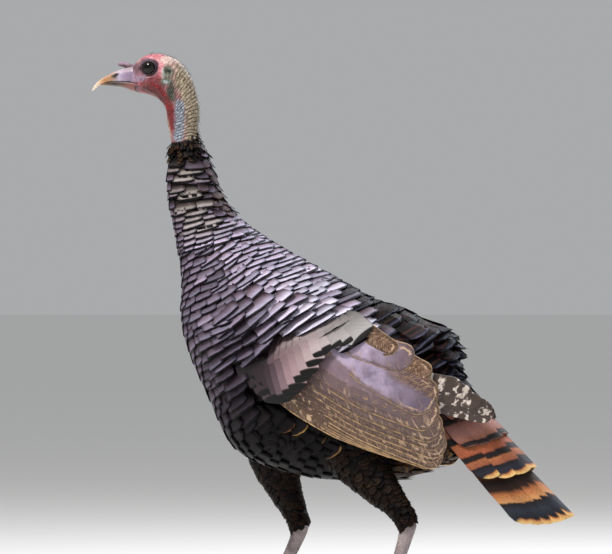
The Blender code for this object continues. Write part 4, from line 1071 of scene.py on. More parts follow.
def growWing(side, materials):
    sign = -1 if side == "left" else 1
    pieces = []
    for tier, plan in wingTiers.items():
        store = newStore()
        count = plan["count"]
        rng = np.random.default_rng(41)
        for i in range(count):
            share = i / (count - 1)
            if tier == "secondary":
                root, tip = np.array(secondaries[i][0:2]), np.array(secondaries[i][2:4])
                width, share = secondaries[i][4:]
            else:
                root = splineAt(plan["roots"], np.array(share * (len(plan["roots"]) - 1)))
                tip = splineAt(plan["tips"], np.array(share * (len(plan["tips"]) - 1)))
                width = plan["width"][0] + (plan["width"][1] - plan["width"][0]) * share
            tip = tip + rng.normal(0, 0.0008, 2)
            if side == "right" and tier == "primary":
                tip = tip + np.array([-0.012, -0.006])
            along = tip - root
            length = float(np.linalg.norm(along))
            across = np.array([-along[1], along[0]]) / length
            level = plan["level"] + plan["step"] * i
            sink = plan["sink"] * (0.4 + 0.6 * share if tier == "secondary" else 1)

            def spot(t, reach):
                flat = root + along * t[..., None] + across * (reach - 0.004 * np.sin(math.pi * t))[..., None]
                x, z = flat[..., 0], flat[..., 1]
                e = 0.002
                slopeX = (domeWidth(x + e, z) - domeWidth(x - e, z)) / (2 * e)
                slopeZ = (domeWidth(x, z + e) - domeWidth(x, z - e)) / (2 * e)
                outward = unit(np.stack([-slopeX, -np.ones_like(x), -slopeZ], -1))
                height = level - sink * (1 - smooth(0, 0.45, t)) - plan["arch"] * reach**2 / width
                points = np.stack([x, -domeWidth(x, z), z], -1) + outward * height[..., None]
                if sign > 0:
                    points, outward = points * np.array([1, -1, 1]), outward * np.array([1, -1, 1])
                return points, outward

            addBlade(store, spot, length, width, plan["round"], {"share": share})
        pieces.append(finishStore(store, f"{tier}_{side}", materials[tier]))
    return pieces


tail = {"slope": math.radians(45.5), "root": (0.1420, 0.0, 0.3200), "pitch": math.radians(46), "ridge": 0.026,
        "step": 0.00062}
# Each tier: pairs beside the middle blade, start, spacing, fan step, length, loss of length at
# the outermost, width, level at the tip
tailTiers = {
    "tailFeather": (5, 0.004, 0.0084, math.radians(0.7), 0.227, 0.026, 0.048, 0.0000),
    "tailCovert": (3, 0.000, 0.0150, math.radians(1.2), 0.156, 0.022, 0.056, 0.0085),
    "smallTailCovert": (3, -0.004, 0.0135, math.radians(1.5), 0.106, 0.014, 0.044, 0.0120),
    "upperTailCovert": (3, -0.006, 0.0090, math.radians(3.0), 0.070, 0.010, 0.040, 0.0150),
}


def growTail(material):
    alongAxis = np.array([math.cos(tail["slope"]), 0, -math.sin(tail["slope"])])
    upAxis = np.array([math.sin(tail["slope"]), 0, math.cos(tail["slope"])])
    yAxis = np.array([0, 1.0, 0])
    pieces = []
    for tier, (pairs, start, spacing, fan, longest, loss, width, level) in tailTiers.items():
        store = newStore()
        for order in range(2 * pairs + 1):
            i = (order + 1) // 2 * (1 if order % 2 else -1)
            share = abs(i) / pairs
            length = longest - loss * share**2
            levelTip = level - tail["step"] * order

            def spot(t, reach):
                run = start + length * t * math.cos(fan * i)
                across = spacing * i + length * t * math.sin(fan * i) + reach
                size = np.abs(across)
                turn = tail["pitch"] / tail["ridge"]
                bend = np.minimum(size, tail["ridge"])
                more = np.maximum(size - tail["ridge"], 0)
                flat = np.sin(bend * turn) / turn + more * math.cos(tail["pitch"])
                drop = (1 - np.cos(bend * turn)) / turn + more * math.sin(tail["pitch"])
                way = np.sign(across + 1e-12)
                outward = upAxis * np.cos(bend * turn)[..., None] + yAxis * (way * np.sin(bend * turn))[..., None]
                height = levelTip * (0.6 + 0.4 * smooth(0, 0.7, t)) - 0.25 * reach**2 / width
                place = (np.array(tail["root"]) + alongAxis * run[..., None] + yAxis * (way * flat)[..., None]
                         - upAxis * drop[..., None])
                return place + outward * height[..., None], outward

            kind = {"tailFeather": 0.0, "tailCovert": 1.0}.get(tier, 2.0)
            addBlade(store, spot, length, width, 1.1, {"kind": kind, "share": share}, 0.03)
        pieces.append(finishStore(store, tier, material))
    return pieces


def longFeatherMaterial(name, settings, steps, contrast=(0.7, 1.3)):
    # The steps that wing and tail feathers share: ownPlace holds a point of the blade in
    # millimetres along it and from its shaft, and band is bent back at the vane's sides.
    first = [
        ("toneMm", "Math", {**times, 1: 90.0}, {0: "tone"}),
        ("absU", "Math", {"operation": "ABSOLUTE"}, {0: "bladeU"}),
        ("squared", "Math", {"operation": "POWER", 1: 2.0}, {0: "absU"}),
        ("band", "Math", {**timesPlus, 1: -0.05}, {0: "squared", 2: "bladeV"}),
        ("ownPlace", "CombineXYZ", {}, {0: "runMm", 1: "reachMm", 2: "toneMm"}),
    ]
    last = [("colour", "HueSaturation", {}, {"Value": "value", "Color": "colour"})]
    marks = ("bladeU", "bladeV", "barb", "runMm", "reachMm", "edgeMm", "tone", "share", "kind")
    return makeMaterial(name, settings, marks, first + steps + barbSteps(1.5, 0.65, contrast, (0.85, 1.15)) + last,
                        ("streaks", 0.45, 0.0005))


def covertMaterial():
    # Great coverts of the arm: satin keratin, dark plum at the front through pinkish bronze to
    # silver-green, with a velvet black end about 9 mm deep. The dark plum at the front is painted
    # shade, as are the darkening towards each root and the dark line along each feather's sides.
    return longFeatherMaterial("bronze wing covert", {"Roughness": 0.42, "IOR": 1.5, "Specular IOR Level": 0.3}, [
        # darker towards the front feathers: painted shade
        ("front", "ValToRGB", {"stops": (
            (0.0, "#1e171a"), (0.16, "#33272d"), (0.28, "#54444c"), (0.38, "#8a737a"), (0.48, "#a98f93"),
            (0.62, "#b8a3a4"), (0.82, "#aba3a4"), (1.0, "#a6a5a4"))}, {0: "share"}),
        # darker towards the root: painted shade under the feathers that overlap it
        ("end", "ValToRGB", {"stops": (
            (0.0, "#4a4444"), (0.40, "#b4aeae"), (0.70, "#f4f0f0"), (0.855, "#ffffff"), (0.875, "#5a5052"),
            (0.89, "#0c0a0b"), (1.0, "#080607"))}, {0: "band"}),
        ("colour", "Mix", {"blend_type": "MULTIPLY", 0: 1.0}, {6: "front", 7: "end"}),
        # a painted shade line along the sides, at the seams between feathers
        ("side", "MapRange", {1: 0.3, 2: 1.3, 3: 0.75, 4: 0.0}, {0: "edgeMm"}),
        ("colour", "Mix", {7: "#241b1d"}, {0: "side", 6: "colour"}),
    ], (0.80, 1.2))


def secondaryMaterial():
    # Secondaries: brown keratin with a lavender sheen painted on the inner ones, finely vermiculated
    # towards the end, flecked with cream and edged with buff.
    return longFeatherMaterial("mottled brown wing feather",
                               {"Roughness": 0.38, "IOR": 1.5, "Specular IOR Level": 0.35}, [
        ("colour", "ValToRGB", {"stops": (
            (0.0, "#4d382a"), (0.30, "#4a372f"), (0.50, "#523f3b"), (0.64, "#614e4c"), (0.73, "#69555a"),
            (0.82, "#65576a"), (0.92, "#6a5a64"), (1.0, "#5d4232"))}, {0: "share"}),
        # a painted lavender sheen where the vane is smooth: between the coverts and the end, on the inner feathers
        ("gloss", "MapRange", {1: 0.60, 2: 0.90, 3: 1.0, 4: 0.0}, {0: "bladeV"}),
        ("inner", "ValToRGB", {"stops": (
            (0.50, "#080808"), (0.63, "#484848"), (0.74, "#747474"), (0.82, "#ffffff"), (0.92, "#ffffff"),
            (0.97, "#080808"))}, {0: "share"}),
        ("cloud", "TexNoise", {"Scale": 0.06, "Detail": 3.0}, {"Vector": "ownPlace"}),
        ("cloud", "MapRange", {1: 0.32, 2: 0.60, 3: 0.30, 4: 1.0}, {0: "cloud"}),
        ("gloss", "Math", times, {0: "gloss", 1: "inner"}),
        ("gloss", "Math", times, {0: "gloss", 1: "cloud"}),
        ("colour", "Mix", {7: "#b5a5bf"}, {0: "gloss", 6: "colour"}),
        # brown on the innermost feather and on the upper vane of the widest
        ("innermost", "MapRange", {1: 0.93, 2: 0.98}, {0: "share"}),
        ("upperVane", "MapRange", {1: 0.0, 2: 0.35}, {0: "bladeU"}),
        ("outerEnd", "MapRange", {1: 0.55, 2: 0.68}, {0: "bladeV"}),
        ("above", "MapRange", {1: 0.77, 2: 0.80}, {0: "share"}),
        ("below", "MapRange", {1: 0.84, 2: 0.87, 3: 1.0, 4: 0.0}, {0: "share"}),
        ("wide", "Math", times, {0: "upperVane", 1: "outerEnd"}),
        ("widest", "Math", times, {0: "above", 1: "below"}),
        ("wide", "Math", times, {0: "wide", 1: "widest"}),
        ("brownish", "Math", larger, {0: "innermost", 1: "wide"}),
        ("brownShare", "Math", {**times, 1: 0.8}, {0: "brownish"}),
        ("colour", "Mix", {7: "#4d3529"}, {0: "brownShare", 6: "colour"}),
        # vermiculation, 1.2 mm apart, drawn along the barbs: near the edge, the end and on the brown
        ("vanePlace", "CombineXYZ", {}, {0: "barb", 1: "reachMm", 2: "toneMm"}),
        ("squashed", "VectorMath", {**times, 1: (1.0, 0.35, 1.0)}, {0: "vanePlace"}),
        ("worms", "TexNoise", {"Scale": 0.80, "Detail": 2.0, "Distortion": 0.9}, {"Vector": "squashed"}),
        ("worms", "MapRange", {1: 0.48, 2: 0.56}, {0: "worms"}),
        ("wobble", "TexNoise", {"Scale": 0.16, "Detail": 2.0}, {"Vector": "ownPlace"}),
        ("wobble", "MapRange", {3: -3.0, 4: 3.0}, {0: "wobble"}),
        ("fringe", "Math", {**timesPlus, 1: 1.5}, {0: "wobble", 2: "edgeMm"}),
        ("fringe", "MapRange", {1: 2.0, 2: 9.0, 3: 0.80, 4: 0.0}, {0: "fringe"}),
        ("fringeShare", "MapRange", {1: 0.84, 2: 0.90, 3: 1.0, 4: 0.5}, {0: "share"}),
        ("fringe", "Math", times, {0: "fringe", 1: "fringeShare"}),
        ("tipWise", "MapRange", {1: 0.70, 2: 0.95, 3: 0.05, 4: 0.20}, {0: "bladeV"}),
        ("tipWise", "Math", larger, {0: "tipWise", 1: "fringe"}),
        ("brownWorms", "Math", {**times, 1: 0.75}, {0: "brownish"}),
        ("tipWise", "Math", larger, {0: "tipWise", 1: "brownWorms"}),
        ("worms", "Math", times, {0: "worms", 1: "tipWise"}),
        ("colour", "Mix", {7: "#a5856a"}, {0: "worms", 6: "colour"}),
        # cream flecks that run from the edge into the vane, and a broken line along the end
        ("flecks", "VectorMath", {**times, 1: (0.16, 0.075, 1.0)}, {0: "vanePlace"}),
        ("flecks", "TexNoise", {"Scale": 1.0, "Detail": 3.0, "Distortion": 0.6}, {"Vector": "flecks"}),
        ("flecks", "MapRange", {1: 0.59, 2: 0.66}, {0: "flecks"}),
        ("outer", "MapRange", {1: 0.70, 2: 0.86, 3: 1.0, 4: 0.30}, {0: "share"}),
        ("nearEdge", "MapRange", {1: 6.0, 2: 13.0, 3: 0.8, 4: 0.25}, {0: "edgeMm"}),
        ("flecks", "Math", times, {0: "flecks", 1: "outer"}),
        ("flecks", "Math", times, {0: "flecks", 1: "nearEdge"}),
        ("inset", "Math", plus, {0: "edgeMm", 1: "wobble"}),
        ("line", "Math", {**plus, 1: -6.0}, {0: "inset"}),
        ("line", "Math", {"operation": "ABSOLUTE"}, {0: "line"}),
        ("line", "MapRange", {1: 0.5, 2: 1.2, 3: 1.0, 4: 0.0}, {0: "line"}),
        ("atEnd", "MapRange", {1: 0.80, 2: 0.86}, {0: "bladeV"}),
        ("broken", "TexNoise", {"Scale": 0.09, "Detail": 2.0}, {"Vector": "ownPlace"}),
        ("broken", "MapRange", {1: 0.46, 2: 0.56, 3: 0.0, 4: 0.9}, {0: "broken"}),
        ("line", "Math", times, {0: "line", 1: "atEnd"}),
        ("line", "Math", times, {0: "line", 1: "broken"}),
        ("cream", "Math", larger, {0: "flecks", 1: "line"}),
        ("colour", "Mix", {7: "#c8a888"}, {0: "cream", 6: "colour"}),
        # buff edge over a darker brown seam
        ("seam", "MapRange", {1: 2.0, 2: 5.5, 3: 0.55, 4: 0.0}, {0: "inset"}),
        ("colour", "Mix", {7: "#2c1e16"}, {0: "seam", 6: "colour"}),
        ("rim", "Math", {**timesPlus, 1: 0.3}, {0: "wobble", 2: "edgeMm"}),
        ("rim", "MapRange", {1: 0.5, 2: 1.7, 3: 1.0, 4: 0.0}, {0: "rim"}),
        ("rimShare", "MapRange", {1: 0.5, 2: 0.9, 3: 0.95, 4: 0.70}, {0: "share"}),
        ("worn", "TexNoise", {"Scale": 0.13, "Detail": 3.0}, {"Vector": "ownPlace"}),
        ("worn", "MapRange", {1: 0.36, 2: 0.58, 3: 0.30, 4: 1.0}, {0: "worn"}),
        ("rim", "Math", times, {0: "rim", 1: "rimShare"}),
        ("rim", "Math", times, {0: "rim", 1: "worn"}),
        ("colour", "Mix", {7: "#c8a272"}, {0: "rim", 6: "colour"}),
    ], (0.78, 1.22))


def primaryMaterial():
    # Primaries: stiff grey-brown keratin, barred with white that breaks up towards the tip.
    barSpacing = 17  # millimetres
    return longFeatherMaterial("barred wing quill", {"Roughness": 0.42, "IOR": 1.5, "Specular IOR Level": 0.35}, [
        ("warp", "TexNoise", {"Scale": 0.09, "Detail": 3.0}, {"Vector": "ownPlace"}),
        ("warp", "Math", {**timesPlus, 1: 34.0}, {0: "warp", 2: "toneMm"}),
        ("bars", "Math", plus, {0: "runMm", 1: "warp"}),
        ("bars", "Math", {**times, 1: 2 * math.pi / barSpacing}, {0: "bars"}),
        ("bars", "Math", {"operation": "SINE"}, {0: "bars"}),
        ("bars", "MapRange", {1: 0.25, 2: 0.75}, {0: "bars"}),
        ("patchy", "TexNoise", {"Scale": 0.11, "Detail": 4.0}, {"Vector": "ownPlace"}),
        ("patchy", "MapRange", {1: 0.46, 2: 0.56, 3: 0.02, 4: 1.0}, {0: "patchy"}),
        ("white", "Math", times, {0: "bars", 1: "patchy"}),
        ("colour", "Mix", {6: "#43362f", 7: "#cdbfb4"}, {0: "white"}),
    ])


def tailMaterial():
    # Tail: chestnut coverts with black bars and buff ends, and tail feathers with a broad
    # blue-black band, lifted to slate by a painted sheen, before a golden buff end.
    looks = (
        # tail feathers: the slate stop in the blue-black band is a painted sheen
        ((0.0, "#2a1c18"), (0.20, "#4c352b"), (0.30, "#1d1411"), (0.36, "#5f3f30"), (0.46, "#2a1a15"),
         (0.55, "#5f3c2c"), (0.64, "#1e1512"), (0.70, "#3a251b"), (0.73, "#a8663c"), (0.79, "#c08a58"),
         (0.805, "#1a1517"), (0.86, "#2a2d38"), (0.94, "#15151b"), (1.0, "#121218")),
        ((0.0, "#5a3f3c"), (0.30, "#805752"), (0.43, "#96604f"), (0.47, "#120e0e"), (0.525, "#120e0e"),
         (0.54, "#a55f3d"), (0.67, "#a0563a"), (0.69, "#1c1413"), (0.735, "#201614"), (0.75, "#a0603e"),
         (0.81, "#8d5339"), (0.825, "#1a1416"), (0.88, "#262530"), (1.0, "#1a181e")),
        ((0.0, "#150e0f"), (0.30, "#2a1b1a"), (0.42, "#54362f"), (0.48, "#1f1516"), (0.54, "#1f1516"),
         (0.58, "#7a5048"), (0.66, "#8a5d57"), (0.76, "#94675c"), (0.86, "#8d5a48"), (0.885, "#1a1213"),
         (0.94, "#251b1e"), (0.97, "#6b4a3c"), (1.0, "#4a342c")),
    )
    return longFeatherMaterial("barred tail feather", {"Roughness": 0.46, "IOR": 1.5, "Specular IOR Level": 0.25}, [
        ("along", "TexNoise", {"Scale": 0.30, "Detail": 2.0}, {"Vector": "ownPlace"}),
        ("along", "Math", {**timesPlus, 1: 0.020, 2: -0.060}, {0: "along"}),
        ("along", "Math", plus, {0: "bladeV", 1: "along"}),
        ("along", "Math", {**timesPlus, 1: 0.075}, {0: "absU", 2: "along"}),
        ("feather", "ValToRGB", {"stops": looks[0]}, {0: "along"}),
        ("covert", "ValToRGB", {"stops": looks[1]}, {0: "along"}),
        ("smallCovert", "ValToRGB", {"stops": looks[2]}, {0: "along"}),
        ("colour", "Mix", {}, {0: "kind", 6: "feather", 7: "covert"}),
        ("second", "Math", {"operation": "SUBTRACT", 1: 1.0, "use_clamp": True}, {0: "kind"}),
        ("colour", "Mix", {}, {0: "second", 6: "colour", 7: "smallCovert"}),
        # the buff end follows the rounded outline, 9 mm deep
        ("near", "MapRange", {1: 7.0, 2: 9.5, 3: 1.0, 4: 0.0}, {0: "edgeMm"}),
        ("atEnd", "MapRange", {1: 0.915, 2: 0.94}, {0: "bladeV"}),
        ("ended", "Math", times, {0: "near", 1: "atEnd"}),
        ("plain", "MapRange", {1: 1.2, 2: 1.8, 3: 1.0, 4: 0.0}, {0: "kind"}),
        ("ended", "Math", times, {0: "ended", 1: "plain"}),
        ("buff", "MapRange", {1: 0.0, 2: 10.0}, {0: "edgeMm"}),
        ("buff", "ValToRGB", {"stops": ((0.0, "#dcb876"), (0.45, "#d2a468"), (0.8, "#a9683a"), (1.0, "#7a4526"))},
         {0: "buff"}),
        ("colour", "Mix", {}, {0: "ended", 6: "colour", 7: "buff"}),
        ("freckle", "TexNoise", {"Scale": 0.7, "Detail": 2.0}, {"Vector": "ownPlace"}),
        ("freckle", "MapRange", {1: 0.52, 2: 0.66, 4: 0.35}, {0: "freckle"}),
        ("colour", "Mix", {"blend_type": "MULTIPLY", 7: "#5a4034"}, {0: "freckle", 6: "colour"}),
    ], (0.78, 1.22))


# Bill

# Rows from the base to the tip: x, top and bottom, then half the width
bill = {
    "upper": ((-0.2470, 0.7128, 0.6912, 0.0104), (-0.2530, 0.7116, 0.6913, 0.0098), (-0.2630, 0.7090, 0.6917, 0.0081),
              (-0.2718, 0.7062, 0.6921, 0.0069), (-0.2805, 0.7022, 0.6920, 0.0057), (-0.2883, 0.6981, 0.6905, 0.0045),
              (-0.2960, 0.6927, 0.6864, 0.0031), (-0.3008, 0.6875, 0.6826, 0.0018), (-0.3033, 0.6824, 0.6804, 0.0006)),
    "lower": ((-0.2470, 0.6916, 0.6795, 0.0098), (-0.2530, 0.6918, 0.6812, 0.0094), (-0.2630, 0.6924, 0.6850, 0.0078),
              (-0.2718, 0.6928, 0.6866, 0.0066), (-0.2805, 0.6926, 0.6874, 0.0052), (-0.2880, 0.6914, 0.6880, 0.0036),
              (-0.2930, 0.6895, 0.6885, 0.0012)),
    "nostrilSlant": 0.49,  # radians
}


def growBill(material):
    pieces = []
    for name in ("upper", "lower"):
        rows = bill[name]
        rings, sides = 70, 48
        place, turn = tubeGrid(np.linspace(0, len(rows) - 1, rings), sides)
        x, top, bottom, half = splineAt(rows, place).T
        c, s = np.cos(turn), np.sin(turn)
        flat = (c < 0) if name == "upper" else (c > 0)
        rise = np.sign(c) * np.abs(c)**np.where(flat, 0.22, 1.0)
        y = half * np.sign(s) * np.abs(s)**np.where(flat, 0.9, 1.15)
        z = (top + bottom) / 2 + (top - bottom) / 2 * rise
        points = np.stack([x, y, z], -1)
        if name == "upper":
            # nostril: a slanting slit under a low lid
            dx, dz = x - head["nostril"][0], z - head["nostril"][1]
            c, s = math.cos(bill["nostrilSlant"]), math.sin(bill["nostrilSlant"])
            a, b = dx * c + dz * s, -dx * s + dz * c
            pit = np.exp(-((a / 0.0046)**4 + (b / 0.0018)**4)) * (np.abs(y) > 0.002)
            lid = np.exp(-((a / 0.0052)**2 + ((b - 0.0028) / 0.0013)**2)) * (np.abs(y) > 0.002)
            points[:, 1] += np.sign(y) * (lid * 0.0008 - pit * 0.0024)
        else:
            pit = np.zeros_like(x)
        # edge: a painted shade line where the two mandibles meet
        edge = np.exp(-((z - (bottom if name == "upper" else 0.6914)) / 0.0009)**2) * smooth(-0.2900, -0.2820, x)
        # crown: a painted highlight along the top of the upper mandible
        marks = {"toTip": smooth(-0.2520, -0.2990, x) if name == "upper" else smooth(-0.2520, -0.2940, x), "pit": pit,
                 "edge": edge, "crown": smooth(0.2, 0.95, rise) if name == "upper" else 0 * rise,
                 "under": 0 * rise + (name == "lower")}
        piece = addPiece("billUpper" if name == "upper" else "billLower", points, tubeFaces(rings, sides), marks,
                         material)
        faceOut(piece)
        pieces.append(piece)
    return pieces


def billMaterial():
    # Horny sheath of the bill: dense keratin, semi-gloss, peach at the tip and grey-lavender
    # at the base, with fine growth lines along it, a painted highlight along the top and painted
    # shade along the gape, in the nostril and over the middle of the lower mandible.
    steps = (
        ("object", "TexCoord", {}, {}),
        ("grain", "Mapping", {"Scale": (120, 900, 900)}, {"Vector": "object"}),  # lines about 1 mm apart
        ("grain", "TexNoise", {"Scale": 1.0, "Detail": 3.0}, {"Vector": "grain"}),
        ("colour", "ValToRGB", {"stops": (
            (0.0, "#86748a"), (0.10, "#94849a"), (0.24, "#aa9eb3"), (0.40, "#a08b8d"), (0.58, "#a0795c"),
            (0.82, "#ad7d52"), (0.93, "#c49c74"), (1.0, "#dccab4"))}, {0: "toTip"}),
        # lower mandible: pinkish brown at the base and tan at the tip, with a dark middle that is painted shade under
        # the upper mandible
        ("below", "ValToRGB", {"stops": (
            (0.0, "#7c4f48"), (0.25, "#5a443a"), (0.5, "#2f2923"), (0.85, "#5a4430"), (1.0, "#8a6a48"))},
         {0: "toTip"}),
        ("colour", "Mix", {}, {0: "under", 6: "colour", 7: "below"}),
        # crown: a painted highlight along the top
        ("crown", "Math", {**times, 1: 0.35}, {0: "crown"}),
        ("colour", "Mix", {7: "#d8c4c0"}, {0: "crown", 6: "colour"}),
        # painted shade along the gape
        ("edge", "Math", {**times, 1: 0.85}, {0: "edge"}),
        ("colour", "Mix", {7: "#2c2322"}, {0: "edge", 6: "colour"}),
        # painted shade inside the nostril
        ("colour", "Mix", {7: "#120c0d"}, {0: "pit", 6: "colour"}),
        ("value", "MapRange", {1: 0.3, 2: 0.7, 3: 0.82, 4: 1.15}, {0: "grain"}),
        ("colour", "HueSaturation", {}, {"Value": "value", "Color": "colour"}),
    )
    settings = {"Roughness": 0.33, "IOR": 1.54, "Subsurface Weight": 0.08, "Subsurface Scale": 0.003}
    return makeMaterial("horn bill sheath", settings, ("toTip", "pit", "edge", "crown", "under"), steps,
                        ("grain", 0.2, 0.0003))


# Eyes and lids

def growEyes(eyeMaterial, lidMaterial):
    pieces = []
    ex, ey, ez = head["eye"]
    for side, sign in (("left", -1), ("right", 1)):
        rings, sides = 48, 48
        polar, turn = tubeGrid(np.linspace(0.02, math.pi - 0.02, rings), sides)
        r = head["eyeRadius"] * (1 + 0.05 * np.exp(-(polar / 0.5)**2))
        y = sign * r * np.cos(polar)
        points = np.stack([ex + r * np.sin(polar) * np.cos(turn), sign * ey + y,
                           ez + r * np.sin(polar) * np.sin(turn)], -1)
        eye = addPiece("eye" + side.title(), points, tubeFaces(rings, sides),
                       {"gaze": np.sin(polar) * head["eyeRadius"] * 1000}, eyeMaterial)
        faceOut(eye)
        # the lids: a soft dark rim with a nictitating corner in front
        steps, ringSides = 72, 14
        around, tube = tubeGrid(np.arange(steps) / steps * 2 * math.pi, ringSides)
        major = (head["lidRing"] + 0.0013 * np.clip(-np.cos(around), 0, 1)**10
                 + 0.0007 * np.clip(np.cos(around), 0, 1)**10)
        minor = 0.00075 * (1 + 0.35 * np.sin(around)) * (1 + 0.10 * np.sin(around * 22))
        lidY = ey + math.sqrt(head["eyeRadius"]**2 - head["lidRing"]**2) + 0.0006
        out = major + minor * np.cos(tube)
        lidY = lidY + minor * np.sin(tube) + 0.10 * (major * np.cos(around))
        points = np.stack([ex + out * np.cos(around), sign * lidY, ez + 0.96 * out * np.sin(around)], -1)
        faces = []
        for i in range(steps):
            for k in range(ringSides):
                j, m = (i + 1) % steps, (k + 1) % ringSides
                faces.append((i * ringSides + k, i * ringSides + m, j * ringSides + m, j * ringSides + k))
        lid = addPiece("lid" + side.title(), points, faces, None, lidMaterial)
        faceOut(lid)
        pieces.append((side, eye, lid))
    return pieces


def eyeMaterial():
    # Eye: a wet cornea over a near-black iris, so it has one sharp highlight.
    steps = (
        ("object", "TexCoord", {}, {}),
        ("ring", "MapRange", {1: 0.0, 2: 9.2}, {0: "gaze"}),
        ("colour", "ValToRGB", {"stops": (
            (0.0, "#050404"), (0.44, "#060404"), (0.52, "#0e0805"), (0.72, "#150c06"), (0.80, "#080504"),
            (1.0, "#060404"))}, {0: "ring"}),
        ("rays", "TexNoise", {"Scale": 1400.0, "Detail": 2.0}, {"Vector": "object"}),  # 0.7 mm apart
        ("rays", "MapRange", {3: 0.6, 4: 1.3}, {0: "rays"}),
        ("colour", "HueSaturation", {}, {"Value": "rays", "Color": "colour"}),
    )
    return makeMaterial("bird eye cornea", {"Roughness": 0.03, "IOR": 1.36}, ("gaze",), steps)


def lidMaterial():
    # Lid rim: thin bare skin, dark with pigment, moist and finely wrinkled round the eye.
    steps = (
        ("object", "TexCoord", {}, {}),
        ("wrinkles", "TexNoise", {"Scale": 1100.0, "Detail": 3.0}, {"Vector": "object"}),  # 1 mm apart
        ("colour", "ValToRGB", {"stops": ((0.3, "#1a1219"), (0.7, "#4b3a47"))}, {0: "wrinkles"}),
    )
    return makeMaterial("dark eyelid skin", {"Roughness": 0.38, "IOR": 1.4}, (), steps, ("wrinkles", 0.4, 0.0003))


# Feet

toes = (("middle", 0.074, 0.0, 0.0078), ("inner", 0.054, -36.0, 0.0070), ("outer", 0.058, 36.0, 0.0070),
        ("hind", 0.030, 172.0, 0.0060))
foot = {"toeHeight": 0.87, "clawLength": 0.014, "scute": 0.0056, "scuteRise": 0.00055, "toeScute": 0.0042,
        "legStart": 3.55, "taper": 0.42, "knuckle": 0.07, "joints": 3}


def growLegs(scaleMaterial, clawMaterial):
    pieces = []
    for side, inward in (("left", 1), ("right", -1)):
        rows = legs[side]
        rings, sides = 190, 56
        steps = np.linspace(foot["legStart"], len(rows) - 1, rings)
        place, turn = tubeGrid(steps, sides)
        points, _, out = legPoint(rows, place, turn)
        line = splineAt(rows, steps)[:, :3]
        run = np.repeat(np.concatenate([[0], np.cumsum(np.linalg.norm(np.diff(line, axis=0), axis=1))]), sides)
        wrapped = (turn + math.pi) % (2 * math.pi) - math.pi
        front = 1 - smooth(0.85, 1.15, np.abs(wrapped))
        phase = run / foot["scute"] + 0.5 * (wrapped > 0) + 0.35 * np.abs(wrapped)
        saw = phase - np.floor(phase)
        plate = saw**0.6 * (1 - smooth(0.93, 1.0, saw))
        shank = smooth(4.3, 4.9, place) * (1 - smooth(8.2, 8.7, place))
        seam = np.exp(-(wrapped / 0.05)**2) + np.exp(-((np.abs(wrapped) - 1.0) / 0.06)**2)
        shift = foot["scuteRise"] * (plate - 0.5 - 0.8 * seam) * front * shank
        tendon = (0.0006 * np.exp(-((np.abs(wrapped) - 2.2) / 0.35)**2) * smooth(4.6, 5.2, place)
                  * (1 - smooth(7.8, 8.4, place)))
        points = points + out * (shift + tendon - 0.0004)[:, None]
        points[:, 2] = np.maximum(points[:, 2], 0)
        leg = addPiece("leg" + side.title(), points, tubeFaces(rings, sides), None, scaleMaterial)
        faceOut(leg)
        ground, upward = np.array([rows[-1][0], rows[-1][1], 0.0]), np.array([0, 0, 1.0])
        parts, clawPoints, clawFaces, clawRoot = [], [], [], []
        for _, length, degrees, radius in toes:
            way = math.radians(degrees) * inward
            ahead = np.array([-math.cos(way), math.sin(way), 0])
            across = np.array([-ahead[1], ahead[0], 0])
            r, k = tubeGrid(np.linspace(0, 1, 74), 32)
            knuckles = 1 + foot["knuckle"] * np.cos(r * foot["joints"] * 2 * math.pi)
            thick = radius * (1 - foot["taper"] * r) * knuckles
            saw = r * length / foot["toeScute"] % 1.0
            onTop = smooth(0.15, 0.6, np.sin(k))
            size = thick * (1 + 0.07 * (saw**0.6 * (1 - smooth(0.9, 1, saw)) - 0.5) * onTop * smooth(0.08, 0.2, r))
            centre = ground + ahead * (r * length)[:, None] + upward * (thick * foot["toeHeight"])[:, None]
            p = (centre + across * (size * np.cos(k))[:, None]
                 + upward * (size * np.sin(k) * np.where(r > 0.98, 0.85, 1))[:, None])
            p[:, 2] = np.maximum(p[:, 2], 0.0)
            parts.append(addPiece("toe", p, tubeFaces(74, 32)))
            # claw: a blunt curved cone, worn flat below
            r, k = tubeGrid(np.linspace(-0.16, 1, 30), 24)
            size = radius * np.interp(r, [-0.16, 0, 0.5, 0.85, 1.0], [0.40, 0.44, 0.29, 0.17, 0.06])
            height = radius * (0.52 - 0.26 * np.maximum(r, 0)**2)
            centre = ground + ahead * (length + r * foot["clawLength"])[:, None] + upward * height[:, None]
            p = centre + across * (size * 0.8 * np.cos(k))[:, None] + upward * (size * np.sin(k))[:, None]
            p[:, 2] = np.maximum(p[:, 2], 0.0004)
            base = sum(len(c) for c in clawPoints)
            clawFaces += [tuple(v + base for v in face) for face in tubeFaces(30, 24)]
            clawPoints.append(p)
            clawRoot.append(np.clip(r, 0, 1))
        joinAll(leg, parts)
        leg.data.shade_smooth()
        leg.data.set_sharp_from_angle(angle=math.radians(50))
        claws = addPiece("claws" + side.title(), np.vstack(clawPoints), clawFaces,
                         {"toTip": np.concatenate(clawRoot)}, clawMaterial)
        faceOut(claws)
        pieces.append((side, leg, claws))
    return pieces


